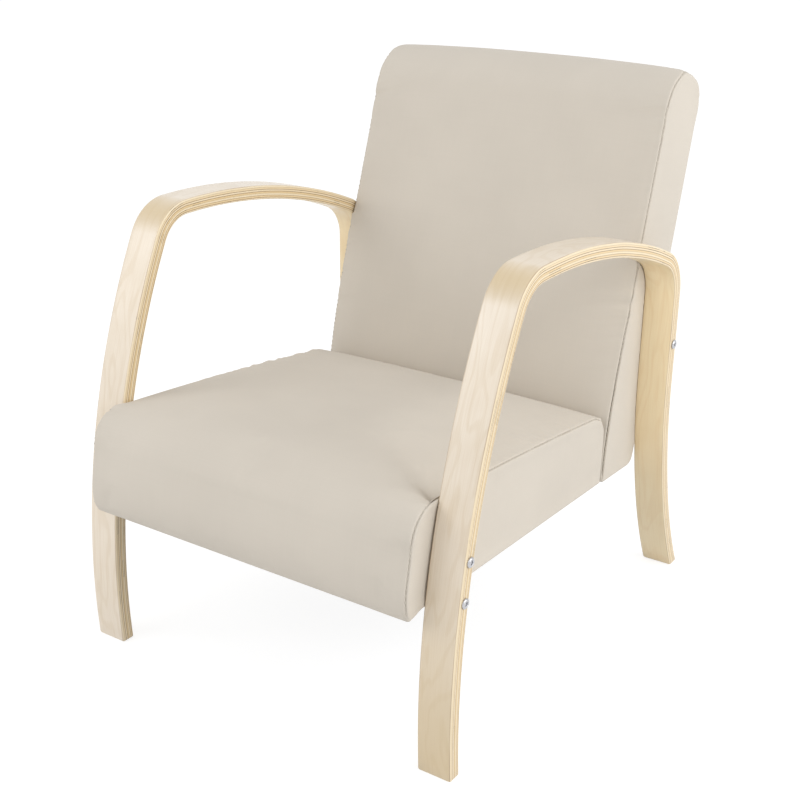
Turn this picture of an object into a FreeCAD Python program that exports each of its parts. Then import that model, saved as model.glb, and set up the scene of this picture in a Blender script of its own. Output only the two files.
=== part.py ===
import FreeCAD, Part
import math
import os
from types import SimpleNamespace

import Sketcher
from FreeCAD import Placement, Rotation, Vector

# Bentwood lounge armchair: two bent side frames carry an upholstered seat and an upholstered back.
# Millimetres. +Z is up, +Y points to the rear, +X to the left of someone seated.
# The origin lies on the floor, under the middle of the chair's box.

# Driving dimensions: name, value, meaning
DIMENSIONS = [
    ("overall_width", 630, "over both side frames"),
    ("strip_width", 50, "side frame strip, across"),
    ("strip_thickness", 21.6, "side frame strip, through its plies"),
    ("strip_edge_ease", 1.5, "eased long edges of the strip"),
    ("arm_height", 651, "floor to the top of the arm"),
    ("front_foot_lean", -5.6, "degrees from vertical, front leg at the floor"),
    ("front_leg_lean", 26.1, "degrees from vertical, top of the front leg"),
    ("front_bend_radius", 75.5, "outer face of the front bend"),
    ("arm_front_lean", 87.7, "degrees from vertical, front of the arm"),
    ("arm_bow_radius", 1023, "outer face of the arm's gentle bow"),
    ("rear_bend_radius", 84, "outer face of the rear bend"),
    ("rear_leg_lean", 178.4, "degrees from vertical, top of the rear leg"),
    ("rear_leg_straight", 139, "straight run of the rear leg"),
    ("rear_foot_lean", 148.7, "degrees from vertical, rear leg at the floor"),
    ("foot_trim", 20, "strip cut off each foot at the floor"),
    ("rear_bolt_height", 427.7, "floor to the bolt that holds the back"),
    ("rear_bolt_depth", 39.5, "that bolt from the front of the back's side piece"),
    ("seat_overhang", 32.8, "seat front ahead of the front foot"),
    ("seat_clear_height", 240, "floor to the seat's lower front edge"),
    ("seat_slope", 2.1, "degrees, seat bottom falling to the rear"),
    ("seat_depth", 553, "seat bottom, front to rear"),
    ("seat_front_height", 147, "seat at its front edge"),
    ("seat_rear_height", 118.6, "seat at its rear edge"),
    ("seat_front_lean", 5.3, "seat's top front edge ahead of its bottom edge"),
    ("seat_rear_lean", 22.4, "seat's top rear edge ahead of its bottom edge"),
    ("seat_front_round", 50, "rolled front edge"),
    ("seat_rear_round", 40, "rolled rear edge"),
    ("seat_bow", 3, "swell of the seat's seams between their corners"),
    ("seat_crown", 9, "further swell of the seat's top at mid width"),
    ("seat_front_crown", 6, "further swell of the seat's front at mid width"),
    ("seat_back_gap", 0.5, "between the seat and the back at the bottom"),
    ("back_tilt", 14.9, "degrees from vertical, rear of the back"),
    ("back_height", 642, "back along its own slope"),
    ("back_bottom_thickness", 103, "back at its bottom"),
    ("back_top_thickness", 129, "back at its top"),
    ("back_front_round", 75, "rolled top front edge"),
    ("back_rear_round", 48, "rolled top rear edge"),
    ("back_heel_round", 18, "lower rear edge"),
    ("back_bow", 11, "swell of the back's front seams"),
    ("back_crown", 9, "further swell of the back's front at mid width"),
    ("back_top_crown", 6, "swell of the back's top at mid width"),
    ("hem_round", 4, "lower edges of both covers"),
    ("crown_margin", 70, "from a side seam to most of the crown"),
    ("side_clearance", 0.3, "between a side panel and its side frame"),
    ("side_swell", 2.5, "side panels proud of their seams"),
    ("side_swell_margin", 14, "from a seam to the full side swell"),
    ("cover_thickness", 1.5, "sewn covers"),
    ("soft_gap", 0.3, "between a cover and what it holds"),
    ("dust_cover_thickness", 0.8, "cloth under the seat"),
    ("dust_cover_inset", 8, "from the seat's lower edges"),
    ("seat_rail_thickness", 25, "seat frame rails"),
    ("seat_rear_foam", 22.9, "foam over the seat frame at the rear"),
    ("webbing_thickness", 2, "straps"),
    ("webbing_width", 50, "straps"),
    ("webbing_pitch", 76, "strap to strap"),
    ("corner_block_leg", 48, "corner block along each rail"),
    ("corner_screw_place", 26, "block screw from the corner"),
    ("corner_screw_step", 7, "block screws above and below mid height"),
    ("corner_screw_sink", 2, "block screw head below the block's face"),
    ("dowel_diameter", 8, "rail dowels"),
    ("dowel_length", 40, "rail dowels"),
    ("dowel_bite", 15, "dowel in the side piece"),
    ("dowel_edge", 14, "dowel to the edge of its rail"),
    ("stile_thickness", 20, "back frame side pieces"),
    ("back_frame_depth", 86, "back frame, front to rear"),
    ("back_board_thickness", 3, "board behind the back frame"),
    ("back_rail_thickness", 20, "top, middle and bottom rails"),
    ("back_middle_height", 330, "middle rail along the back"),
    ("back_bottom_rail_depth", 44, "bottom rail, front to rear"),
    ("lower_rail_thickness", 25, "rail held by the joining plates"),
    ("lower_rail_height", 72, "rail held by the joining plates"),
    ("bolt_diameter", 8, "side frame bolts"),
    ("bolt_clearance", 0.5, "bolt in its hole, on the diameter"),
    ("bolt_edge", 17.4, "front bolt to the edge of the side rail"),
    ("bolt_head_diameter", 14.5, "bolt head"),
    ("bolt_head_rim", 1.2, "straight rim of the head"),
    ("bolt_head_dome", 2.3, "tapered top of the head"),
    ("bolt_head_top", 10, "flat end of the head"),
    ("bolt_socket_width", 5, "hexagon socket across flats"),
    ("bolt_socket_depth", 2.4, "hexagon socket"),
    ("bolt_tail", 3, "bolt end past its nut"),
    ("tee_flange_diameter", 18, "tee nut flange"),
    ("tee_flange_thickness", 1.6, "tee nut flange"),
    ("tee_barrel_diameter", 10, "tee nut barrel"),
    ("tee_barrel_length", 11, "tee nut barrel"),
    ("thread_gap", 0.1, "bolt in its nut, on the diameter"),
    ("nut_clearance", 1.2, "tee nut to the front rail and the corner blocks"),
    ("plate_width", 60, "joining plate, across"),
    ("plate_thickness", 4, "joining plate"),
    ("plate_place", 150, "joining plate from the chair's middle"),
    ("plate_screw_pitch", 36, "screws across a plate"),
    ("screw_diameter", 4.5, "wood screws"),
    ("screw_head_diameter", 9, "wood screw head"),
    ("screw_head_height", 2.5, "wood screw head"),
    ("plate_screw_bite", 24, "plate screw in its rail"),
    ("block_screw_bite", 16, "block screw in its rail"),
]

doc = FreeCAD.newDocument("bentwood_armchair")
sheet = doc.addObject("Spreadsheet::Sheet", "sizes")
for row, (alias, value, meaning) in enumerate(DIMENSIONS, start=1):
    sheet.set(f"A{row}", alias)
    sheet.set(f"B{row}", str(value))
    sheet.setAlias(f"B{row}", alias)
    sheet.set(f"C{row}", meaning)
doc.recompute()
dim = SimpleNamespace(**{alias: float(sheet.get(alias)) for alias, _, _ in DIMENSIONS})

ITERATIONS = 60
FLAT = 1e-6
SIDES = {"left": 1, "right": -1}
TURN_TO_SIDE = {way: Rotation(Vector(0, 1, 0), 90 * way) for way in (1, -1)}
TURN_TO_REAR = {way: Rotation(Vector(1, 0, 0), -90 * way) for way in (1, -1)}
nodes = []


# Helpers: bodies and their features

def new_body(label, frame, separate=False):
    """An empty body at a frame's placement; separate lets it hold several solids."""
    body = doc.addObject("PartDesign::Body", label)
    body.Label = label
    body.AllowCompound = separate
    body.Placement = frame
    nodes.append(body)
    return body


def bind(feature, **sizes):
    """Set sizes: text is an expression on the sheet's cells, a number is worked out here."""
    for name, size in sizes.items():
        if isinstance(size, str):
            feature.setExpression(name, size)
        else:
            setattr(feature, name, size)
    return feature


def block(body, corner, length, width, height, cut=False):
    """A box from its lowest corner along X, Y and Z."""
    kind = "PartDesign::SubtractiveBox" if cut else "PartDesign::AdditiveBox"
    box = body.newObject(kind, "block")
    bind(box, Length=length, Width=width, Height=height)
    box.Placement = Placement(corner, Rotation())
    return box


def rod(body, start, turn, diameter, length, cut=False):
    """A cylinder from start along the turned Z axis."""
    kind = "PartDesign::SubtractiveCylinder" if cut else "PartDesign::AdditiveCylinder"
    cylinder = body.newObject(kind, "rod")
    bind(cylinder, Radius=f"({diameter}) / 2", Height=length)
    cylinder.Placement = Placement(start, turn)
    return cylinder


def cone(body, start, turn, wide, narrow, length):
    """A cone from its wide end along the turned Z axis."""
    taper = body.newObject("PartDesign::AdditiveCone", "taper")
    bind(taper, Radius1=f"({wide}) / 2", Radius2=f"({narrow}) / 2", Height=length)
    taper.Placement = Placement(start, turn)
    return taper


def soft_feature(label, shape, frame):
    """A lofted form, which no feature above can make."""
    feature = doc.addObject("Part::Feature", label)
    feature.Label = label
    feature.Shape = shape
    feature.Placement = frame
    nodes.append(feature)
    return feature


# Places of the seat and the back between the side frames

inner_half = dim.overall_width / 2 - dim.strip_width
unit_half = inner_half - dim.side_clearance
seam_half = unit_half - dim.side_swell
frame_half = seam_half - dim.cover_thickness - dim.soft_gap

seat_layout = Placement(Vector(0, -dim.seat_overhang, dim.seat_clear_height),
                        Rotation(Vector(1, 0, 0), -dim.seat_slope))
back_foot = Vector(0, dim.seat_depth + dim.seat_back_gap, 0)
back_layout = Placement(seat_layout.multVec(back_foot), Rotation(Vector(1, 0, 0), -dim.back_tilt))
back_to_seat = seat_layout.inverse().multiply(back_layout)
seat_to_back = back_to_seat.inverse()
back_lean = math.radians(dim.back_tilt - dim.seat_slope)
heel_rise = dim.back_bottom_thickness * math.tan(back_lean)

board_front = (dim.back_bottom_thickness - dim.cover_thickness - dim.soft_gap
               - dim.back_board_thickness)
stile_front = board_front - dim.back_frame_depth


def in_seat(point):
    """A layout point in the seat's own frame."""
    return seat_layout.inverse().multVec(point)


def in_back(point):
    """A layout point in the back's own frame."""
    return back_layout.inverse().multVec(point)


def at_x(point, x):
    """The same point at another x."""
    return Vector(x, point.y, point.z)


def rear_bolt_place():
    """Where a bolt holds the back: at its depth in the back's side piece and its height."""
    tilt = math.radians(dim.back_tilt)
    depth = stile_front + dim.rear_bolt_depth
    along = (dim.rear_bolt_height - back_layout.Base.z + depth * math.sin(tilt)) / math.cos(tilt)
    return back_layout.multVec(Vector(0, depth, along))


rear_bolt_point = rear_bolt_place()


# Side frame: the strip's outer face as tangent arcs and one straight, in the plane of Y and Z

def heading(lean):
    """Direction of travel along the strip at a lean from vertical."""
    return Vector(0, math.sin(math.radians(lean)), math.cos(math.radians(lean)))


def inward(lean):
    """Direction from the outer face to the inner face at a lean from vertical."""
    return Vector(0, math.cos(math.radians(lean)), -math.sin(math.radians(lean)))


def rise(lean_from, lean_to):
    """Height gained by an arc of radius 1 between two leans."""
    return math.sin(math.radians(lean_to)) - math.sin(math.radians(lean_from))


def bend(start, lean_from, lean_to, radius):
    """One arc of the strip; it curves inward where the lean grows, and outward where it falls."""
    sign = 1 if lean_to > lean_from else -1
    center = start + inward(lean_from) * (sign * radius)
    end = center - inward(lean_to) * (sign * radius)
    return SimpleNamespace(center=center, radius=radius, sign=sign, start=start, end=end,
                           lean_from=lean_from, lean_to=lean_to)


top_rise = dim.front_bend_radius * rise(dim.front_leg_lean, dim.arm_front_lean)
top_rise += dim.arm_bow_radius * rise(dim.arm_front_lean, 90)
front_leg_radius = (dim.arm_height - top_rise) / rise(dim.front_foot_lean, dim.front_leg_lean)

front_leg = bend(Vector(0, 0, 0), dim.front_foot_lean, dim.front_leg_lean, front_leg_radius)
front_bend = bend(front_leg.end, dim.front_leg_lean, dim.arm_front_lean, dim.front_bend_radius)


def rear_path(arm_lean):
    """Arm, rear bend and flared rear leg, for a lean at the arm's rear end."""
    arm = bend(front_bend.end, dim.arm_front_lean, arm_lean, dim.arm_bow_radius)
    rear_bend = bend(arm.end, arm_lean, dim.rear_leg_lean, dim.rear_bend_radius)
    flare_start = rear_bend.end + heading(dim.rear_leg_lean) * dim.rear_leg_straight
    flare_radius = flare_start.z / rise(dim.rear_leg_lean, dim.rear_foot_lean)
    return arm, rear_bend, bend(flare_start, dim.rear_leg_lean, dim.rear_foot_lean, flare_radius)


def on_arc(arc, lean, depth):
    """Point of an arc of the strip at a lean, at a depth below the outer face."""
    return arc.center + inward(lean) * (depth - arc.sign * arc.radius)


def front_leg_middle(height):
    """Middle of the strip's thickness on the front leg at a height."""
    radius = front_leg.radius - dim.strip_thickness / 2
    return front_leg.center.y - math.sqrt(radius ** 2 - (height - front_leg.center.z) ** 2)


def rear_leg_middle(flare, height):
    """Middle of the strip's thickness on the rear leg at a height, below its bend."""
    half = dim.strip_thickness / 2
    top = flare.start + inward(dim.rear_leg_lean) * half
    if height >= top.z:
        slope = heading(dim.rear_leg_lean)
        return top.y + (height - top.z) * slope.y / slope.z
    return flare.center.y - math.sqrt((flare.radius + half) ** 2 - (height - flare.center.z) ** 2)


def arm_end_lean():
    """Lean at the arm's rear end that brings the rear leg to the bolt that holds the back."""
    low, high = dim.arm_front_lean, dim.rear_leg_lean
    for _ in range(ITERATIONS):
        lean = (low + high) / 2
        flare = rear_path(lean)[-1]
        if rear_leg_middle(flare, rear_bolt_point.z) < rear_bolt_point.y:
            low = lean
        else:
            high = lean
    return lean


arm, rear_bend, rear_flare = rear_path(arm_end_lean())


# Upholstered forms: outlines in the plane of Y and Z, lofted across the width

def outline(x, form, swell, insets):
    """Closed wire at x: four rounded corners, joined by lines or shallow arcs."""
    corners = [Vector(x, c[0] + s[0] * swell, c[1] + s[1] * swell)
               for c, s in zip(form.corners, form.corner_swell)]
    count = len(corners)
    along = [(corners[(i + 1) % count] - corners[i]).normalize() for i in range(count)]
    outward = [Vector(0, -d.z, d.y) for d in along]
    shifted = []
    for i in range(count):
        before, after = outward[i - 1], outward[i]
        slide = (insets[i - 1] * before.dot(after) - insets[i]) / along[i - 1].dot(after)
        shifted.append(corners[i] - before * insets[i - 1] + along[i - 1] * slide)
    starts, mids, ends = [], [], []
    for i, point in enumerate(shifted):
        radius = max(form.radii[i] - min(insets[i - 1], insets[i]), form.least_round)
        turn = along[i - 1].getAngle(along[i])
        reach = radius * math.tan(turn / 2)
        center_way = (along[i] - along[i - 1]).normalize()
        center = point + center_way * (radius / math.cos(turn / 2))
        starts.append(point - along[i - 1] * reach)
        mids.append(center - center_way * radius)
        ends.append(point + along[i] * reach)
    edges = []
    for i in range(count):
        edges.append(Part.Arc(starts[i], mids[i], ends[i]).toShape())
        side_from, side_to = ends[i], starts[(i + 1) % count]
        if form.bows[i] or form.crowns[i]:
            bow = form.bows[i] + form.crowns[i] * swell
            middle = (side_from + side_to) * 0.5 + outward[i] * bow
            edges.append(Part.Arc(side_from, middle, side_to).toShape())
        else:
            edges.append(Part.LineSegment(side_from, side_to).toShape())
    return Part.Wire(edges)


def crowned_solid(form, inset):
    """Loft from side seam to side seam, fullest at mid width."""
    half = seam_half - inset
    near = half - dim.crown_margin
    stations = [(-half, 0), (-near, form.margin_share), (0, 1), (near, form.margin_share), (half, 0)]
    insets = [inset] * len(form.corners)
    return Part.makeLoft([outline(x, form, swell, insets) for x, swell in stations], True, False)


def swollen_side(form, side):
    """Side panel standing proud of its seams, but not of its straight lower edge."""
    seam = outline(side * seam_half, form, 0, [0] * len(form.corners))
    proud = outline(side * unit_half, form, 0, [dim.side_swell_margin] * (len(form.corners) - 1) + [0])
    return Part.makeLoft([seam, proud], True, True)


def outer_form(form):
    """The whole upholstered form."""
    return crowned_solid(form, 0).fuse([swollen_side(form, side) for side in SIDES.values()])


MARGIN_SHARE = 0.75
seat_form = SimpleNamespace(
    corners=[(0, 0), (-dim.seat_front_lean, dim.seat_front_height),
             (dim.seat_depth - dim.seat_rear_lean, dim.seat_rear_height), (dim.seat_depth, 0)],
    corner_swell=[(0, 0), (0, dim.seat_crown / 2), (0, dim.seat_crown / 2), (0, 0)],
    radii=[dim.hem_round, dim.seat_front_round, dim.seat_rear_round, dim.hem_round],
    bows=[dim.seat_bow, dim.seat_bow, 0, 0],
    crowns=[dim.seat_front_crown, dim.seat_crown / 2, 0, 0],
    least_round=dim.hem_round / 2, margin_share=MARGIN_SHARE)
back_form = SimpleNamespace(
    corners=[(0, 0), (dim.back_bottom_thickness - dim.back_top_thickness, dim.back_height),
             (dim.back_bottom_thickness, dim.back_height), (dim.back_bottom_thickness, heel_rise)],
    corner_swell=[(0, 0), (0, dim.back_top_crown), (0, dim.back_top_crown), (0, 0)],
    radii=[dim.hem_round, dim.back_front_round, dim.back_rear_round, dim.back_heel_round],
    bows=[dim.back_bow, 0, 0, 0],
    crowns=[dim.back_crown, 0, 0, 0],
    least_round=dim.hem_round / 2, margin_share=MARGIN_SHARE)

seat_outer = outer_form(seat_form)
back_outer = outer_form(back_form)
seat_placed = seat_outer.copy()
seat_placed.Placement = seat_layout
back_placed = back_outer.copy()
back_placed.Placement = back_layout
front_reach = seat_placed.optimalBoundingBox().YMin
rear_reach = max(back_placed.optimalBoundingBox().YMax, rear_flare.end.y)
to_origin = Placement(Vector(0, -(front_reach + rear_reach) / 2, 0), Rotation())
side_frame = to_origin
seat_frame = to_origin.multiply(seat_layout)
back_frame = to_origin.multiply(back_layout)

# Seat frame levels and stations, in the seat's own frame

rail_bottom = dim.cover_thickness + dim.soft_gap
webbing_top = dim.seat_rear_height - dim.cover_thickness - dim.seat_rear_foam
rail_top = webbing_top - 2 * dim.webbing_thickness
rail_height = rail_top - rail_bottom
rail_inner = frame_half - dim.seat_rail_thickness


def seat_bolt_point(level):
    """Place on the front leg's middle at a level of the seat, in the layout's Y and Z."""
    height = dim.seat_clear_height
    for _ in range(ITERATIONS):
        station = in_seat(Vector(0, front_leg_middle(height), height))
        height += level - station.z
    return Vector(0, front_leg_middle(height), height)


front_bolt_points = [seat_bolt_point(rail_bottom + dim.bolt_edge),
                     seat_bolt_point(rail_top - dim.bolt_edge)]
bolt_points = front_bolt_points + [rear_bolt_point]
nut_front = in_seat(front_bolt_points[0]).y - dim.tee_flange_diameter / 2
rail_front = nut_front - dim.nut_clearance - dim.seat_rail_thickness
rail_rear = (dim.seat_depth - dim.cover_thickness - dim.soft_gap
             - dim.seat_rear_lean * webbing_top / dim.seat_rear_height)

# Back frame levels and stations, in the back's own frame

stile_bottom = heel_rise + dim.cover_thickness + dim.soft_gap + dim.back_heel_round / 2
stile_top = dim.back_height - dim.back_rear_round
stile_inner = frame_half - dim.stile_thickness
board_bottom = heel_rise + dim.back_heel_round
lower_rail_front = (back_to_seat.multVec(Vector(0, stile_front, 0)).y
                    + dim.lower_rail_height * math.tan(back_lean))
lower_rail_top = rail_bottom + dim.lower_rail_height


# Side frames

def foot_run(arc):
    """Degrees that the strip runs on past the floor before its foot is cut flat."""
    return math.degrees(dim.foot_trim / arc.radius)


def strip_edges():
    """Outer and inner faces of the strip as arcs with their radii and ends, from front foot to rear foot."""
    outer, inner = [], []
    for arc in (front_leg, front_bend, arm, rear_bend, rear_flare):
        lean_from, lean_to = arc.lean_from, arc.lean_to
        if arc is front_leg:
            lean_from -= foot_run(arc)
        if arc is rear_flare:
            lean_to -= foot_run(arc)
        for face, depth in ((outer, 0), (inner, dim.strip_thickness)):
            ends = [on_arc(arc, lean, depth) for lean in (lean_from, lean_to)]
            face.append((arc, arc.radius - arc.sign * depth, *ends))
    return outer, inner


def sketch_arc(sketch, arc, radius, start, end):
    """Add one arc of the profile to a sketch whose x and y are the part's Y and Z."""
    center = Vector(arc.center.y, arc.center.z, 0)
    angles = [math.atan2(p.z - arc.center.z, p.y - arc.center.y) for p in (start, end)]
    if arc.sign > 0:
        angles.reverse()
    circle = Part.Circle(center, Vector(0, 0, 1), radius)
    return sketch.addGeometry(Part.ArcOfCircle(circle, *angles))


def sketch_line(sketch, start, end):
    """Add one straight of the profile."""
    return sketch.addGeometry(Part.LineSegment(Vector(start.y, start.z, 0), Vector(end.y, end.z, 0)))


def side_frame_body(name, side):
    """One bent strip: front leg, arm and rear leg, with its bolt holes."""
    body = new_body(f"{name}_side_frame", side_frame)
    sketch = body.newObject("Sketcher::SketchObject", "strip_profile")
    plane = next(f for f in body.Origin.OriginFeatures if f.Role == "YZ_Plane")
    sketch.AttachmentSupport = [(plane, "")]
    sketch.MapMode = "FlatFace"
    sketch.AttachmentOffset = Placement(Vector(0, 0, side * inner_half), Rotation())
    outer, inner = strip_edges()
    bends = {"front_bend_radius": front_bend, "arm_bow_radius": arm, "rear_bend_radius": rear_bend}
    for face, part_of_radius in ((outer, ""), (inner, " - sizes.strip_thickness")):
        for arc, radius, start, end in face:
            index = sketch_arc(sketch, arc, radius, start, end)
            for alias, bent in bends.items():
                if arc is bent:
                    row = sketch.addConstraint(Sketcher.Constraint("Radius", index, radius))
                    sketch.setExpression(f"Constraints[{row}]", f"sizes.{alias}{part_of_radius}")
        sketch_line(sketch, face[3][3], face[4][2])
    sketch_line(sketch, outer[0][2], inner[0][2])
    sketch_line(sketch, outer[-1][3], inner[-1][3])
    pad = body.newObject("PartDesign::Pad", "strip")
    pad.Profile = sketch
    pad.setExpression("Length", "sizes.strip_width")
    pad.Reversed = side < 0
    doc.recompute()
    eased = body.newObject("PartDesign::Chamfer", "eased_edges")
    eased.Base = (pad, [f"Edge{i}" for i, edge in enumerate(pad.Shape.Edges, start=1)
                        if edge.BoundBox.XLength < FLAT and edge.BoundBox.ZMax > 0])
    eased.setExpression("Size", "sizes.strip_edge_ease")
    floor_corner = Vector(min(side * inner_half, side * dim.overall_width / 2), -dim.foot_trim,
                          -2 * dim.foot_trim)
    block(body, floor_corner, "sizes.strip_width", rear_flare.end.y + 3 * dim.foot_trim,
          "2 * sizes.foot_trim", cut=True)
    for point in bolt_points:
        rod(body, at_x(point, side * inner_half), TURN_TO_SIDE[side],
            "sizes.bolt_diameter + sizes.bolt_clearance", "sizes.strip_width", cut=True)
    return body


for name, side in SIDES.items():
    side_frame_body(name, side)

# Joints of the two inner frames: dowels, screws and the holes that take them

DOWEL = "sizes.dowel_diameter"
DOWEL_BITE = "sizes.dowel_bite"
DOWEL_REST = "sizes.dowel_length - sizes.dowel_bite"
SCREW = "sizes.screw_diameter"
SCREW_HEAD = "sizes.screw_head_diameter"
UPWARD = Rotation()
DOWNWARD = Rotation(Vector(1, 0, 0), 180)


def drill_rail_ends(rail, inner, points):
    """Dowel holes in both ends of a rail that meets its side pieces at inner."""
    for side in SIDES.values():
        for point in points:
            rod(rail, at_x(point, side * inner), TURN_TO_SIDE[-side], DOWEL, DOWEL_REST, cut=True)


def drill_side_piece(piece, side, inner, points):
    """Dowel holes in the inner face of a side piece."""
    for point in points:
        rod(piece, at_x(point, side * inner), TURN_TO_SIDE[side], DOWEL, DOWEL_BITE, cut=True)


def dowel_pins(body, inner, points):
    """Dowels across the joints at both ends of a rail."""
    for side in SIDES.values():
        for point in points:
            start = at_x(point, side * (inner - dim.dowel_length + dim.dowel_bite))
            rod(body, start, TURN_TO_SIDE[side], DOWEL, "sizes.dowel_length")


def wood_screw(body, seat, turn, head_turn, length):
    """A screw whose head bears on its seat."""
    rod(body, seat, turn, SCREW, length)
    rod(body, seat, head_turn, SCREW_HEAD, "sizes.screw_head_height")


# Seat frame: four rails, doweled, with a screwed block in each corner

front_rail_middle = rail_front + dim.seat_rail_thickness / 2
rear_rail_middle = rail_rear - dim.seat_rail_thickness / 2
seat_dowels = {middle: [Vector(0, middle, level)
                        for level in (rail_bottom + dim.dowel_edge, rail_top - dim.dowel_edge)]
               for middle in (front_rail_middle, rear_rail_middle)}

plate_xs = [side * dim.plate_place + step * dim.plate_screw_pitch / 2
            for side in SIDES.values() for step in (-1, 1)]
lower_rail_middle = lower_rail_front + dim.lower_rail_thickness / 2
plate_points = {middle: [Vector(x, middle, rail_bottom) for x in plate_xs]
                for middle in (rear_rail_middle, lower_rail_middle)}

block_reach = dim.bolt_edge + dim.tee_flange_diameter / 2 + dim.nut_clearance
block_middle = rail_bottom + rail_height / 2
screw_seat = (dim.corner_block_leg - dim.corner_screw_place - dim.screw_head_diameter / 2
              - dim.corner_screw_sink)
CORNERS = [(side, name) for side in SIDES.values() for name in ("front", "rear")]
corner_y = {"front": rail_front + dim.seat_rail_thickness, "rear": rail_rear - dim.seat_rail_thickness}
into_seat = {"front": 1, "rear": -1}


def block_screws_at(side, name):
    """A corner block's screws, into the side rail and into the end rail: seat point, way in, way out."""
    way = into_seat[name]
    side_seat = Vector(side * (rail_inner - screw_seat), corner_y[name] + way * dim.corner_screw_place,
                       block_middle + dim.corner_screw_step)
    end_seat = Vector(side * (rail_inner - dim.corner_screw_place), corner_y[name] + way * screw_seat,
                      block_middle - dim.corner_screw_step)
    return ((side_seat, TURN_TO_SIDE[side], TURN_TO_SIDE[-side]),
            (end_seat, TURN_TO_REAR[-way], TURN_TO_REAR[way]))


for side_name, side in SIDES.items():
    rail = new_body(f"seat_{side_name}_rail", seat_frame)
    block(rail, Vector(min(side * rail_inner, side * frame_half), rail_front, rail_bottom),
          "sizes.seat_rail_thickness", rail_rear - rail_front, rail_height)
    for point in front_bolt_points:
        rod(rail, at_x(in_seat(point), side * rail_inner), TURN_TO_SIDE[side],
            "sizes.tee_barrel_diameter", "sizes.seat_rail_thickness", cut=True)
    for points in seat_dowels.values():
        drill_side_piece(rail, side, rail_inner, points)
    for name in into_seat:
        seat, turn, _ = block_screws_at(side, name)[0]
        rod(rail, seat, turn, SCREW, screw_seat + dim.block_screw_bite, cut=True)

for name, middle in (("front", front_rail_middle), ("rear", rear_rail_middle)):
    rail = new_body(f"seat_{name}_rail", seat_frame)
    block(rail, Vector(-rail_inner, middle - dim.seat_rail_thickness / 2, rail_bottom),
          2 * rail_inner, "sizes.seat_rail_thickness", rail_height)
    drill_rail_ends(rail, rail_inner, seat_dowels[middle])
    for side in SIDES.values():
        seat, turn, _ = block_screws_at(side, name)[1]
        rod(rail, seat, turn, SCREW, screw_seat + dim.block_screw_bite, cut=True)
    for point in plate_points.get(middle, []):
        rod(rail, point, UPWARD, SCREW, "sizes.plate_screw_bite", cut=True)

pins = new_body("seat_frame_dowels", seat_frame, separate=True)
for points in seat_dowels.values():
    dowel_pins(pins, rail_inner, points)

corner_blocks = new_body("seat_corner_blocks", seat_frame, separate=True)
triangles = corner_blocks.newObject("Sketcher::SketchObject", "triangles")
level_plane = next(f for f in corner_blocks.Origin.OriginFeatures if f.Role == "XY_Plane")
triangles.AttachmentSupport = [(level_plane, "")]
triangles.MapMode = "FlatFace"
triangles.AttachmentOffset = Placement(Vector(0, 0, rail_bottom + block_reach), Rotation())
for side, name in CORNERS:
    corner = Vector(side * rail_inner, corner_y[name], 0)
    on_end = corner - Vector(side * dim.corner_block_leg, 0, 0)
    on_side = corner + Vector(0, into_seat[name] * dim.corner_block_leg, 0)
    for start, end in ((corner, on_end), (on_end, on_side), (on_side, corner)):
        triangles.addGeometry(Part.LineSegment(start, end))
prisms = corner_blocks.newObject("PartDesign::Pad", "prisms")
prisms.Profile = triangles
prisms.Length = rail_height - 2 * block_reach
doc.recompute()

block_screws = new_body("corner_block_screws", seat_frame, separate=True)
for side, name in CORNERS:
    for seat, turn, head_turn in block_screws_at(side, name):
        rod(corner_blocks, seat, turn, SCREW, screw_seat, cut=True)
        rod(corner_blocks, seat, head_turn, SCREW_HEAD, "sizes.corner_block_leg", cut=True)
        wood_screw(block_screws, seat, turn, head_turn, screw_seat + dim.block_screw_bite)


# Webbing: evenly spaced straps that span an opening

def strap_places(low, high):
    """Lower edges of as many straps as an opening takes at the pitch, centred in it."""
    count = int((high - low - dim.webbing_width) // dim.webbing_pitch) + 1
    first = (low + high - dim.webbing_width - (count - 1) * dim.webbing_pitch) / 2
    return [first + i * dim.webbing_pitch for i in range(count)]


WEB = "sizes.webbing_width"
WEB_THICK = "sizes.webbing_thickness"

cross_webbing = new_body("seat_cross_webbing", seat_frame, separate=True)
for place in strap_places(corner_y["front"], corner_y["rear"]):
    block(cross_webbing, Vector(-frame_half, place, rail_top), 2 * frame_half, WEB, WEB_THICK)

long_webbing = new_body("seat_long_webbing", seat_frame, separate=True)
for place in strap_places(-rail_inner, rail_inner):
    block(long_webbing, Vector(place, rail_front, rail_top + dim.webbing_thickness),
          WEB, rail_rear - rail_front, WEB_THICK)

# Back frame: two stiles, three rails across them, a lower rail for the joining plates and a rear board

back_rails = {
    "back_top_rail": (stile_front, stile_top - dim.back_rail_thickness),
    "back_middle_rail": (stile_front, dim.back_middle_height),
    "back_bottom_rail": (board_front - dim.back_bottom_rail_depth, stile_bottom),
}
back_dowels = {
    label: [Vector(0, station, low + dim.back_rail_thickness / 2)
            for station in (front + dim.dowel_edge, board_front - dim.dowel_edge)]
    for label, (front, low) in back_rails.items()
}
lower_dowels = [Vector(0, lower_rail_middle, level)
                for level in (lower_rail_top - dim.dowel_edge, lower_rail_top - dim.lower_rail_height / 2)]

for side_name, side in SIDES.items():
    stile = new_body(f"back_{side_name}_stile", back_frame)
    block(stile, Vector(min(side * stile_inner, side * frame_half), stile_front, stile_bottom),
          "sizes.stile_thickness", "sizes.back_frame_depth", stile_top - stile_bottom)
    rod(stile, at_x(in_back(rear_bolt_point), side * stile_inner), TURN_TO_SIDE[side],
        "sizes.tee_barrel_diameter", "sizes.stile_thickness", cut=True)
    for points in back_dowels.values():
        drill_side_piece(stile, side, stile_inner, points)
    drill_side_piece(stile, side, stile_inner, [seat_to_back.multVec(p) for p in lower_dowels])

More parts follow.
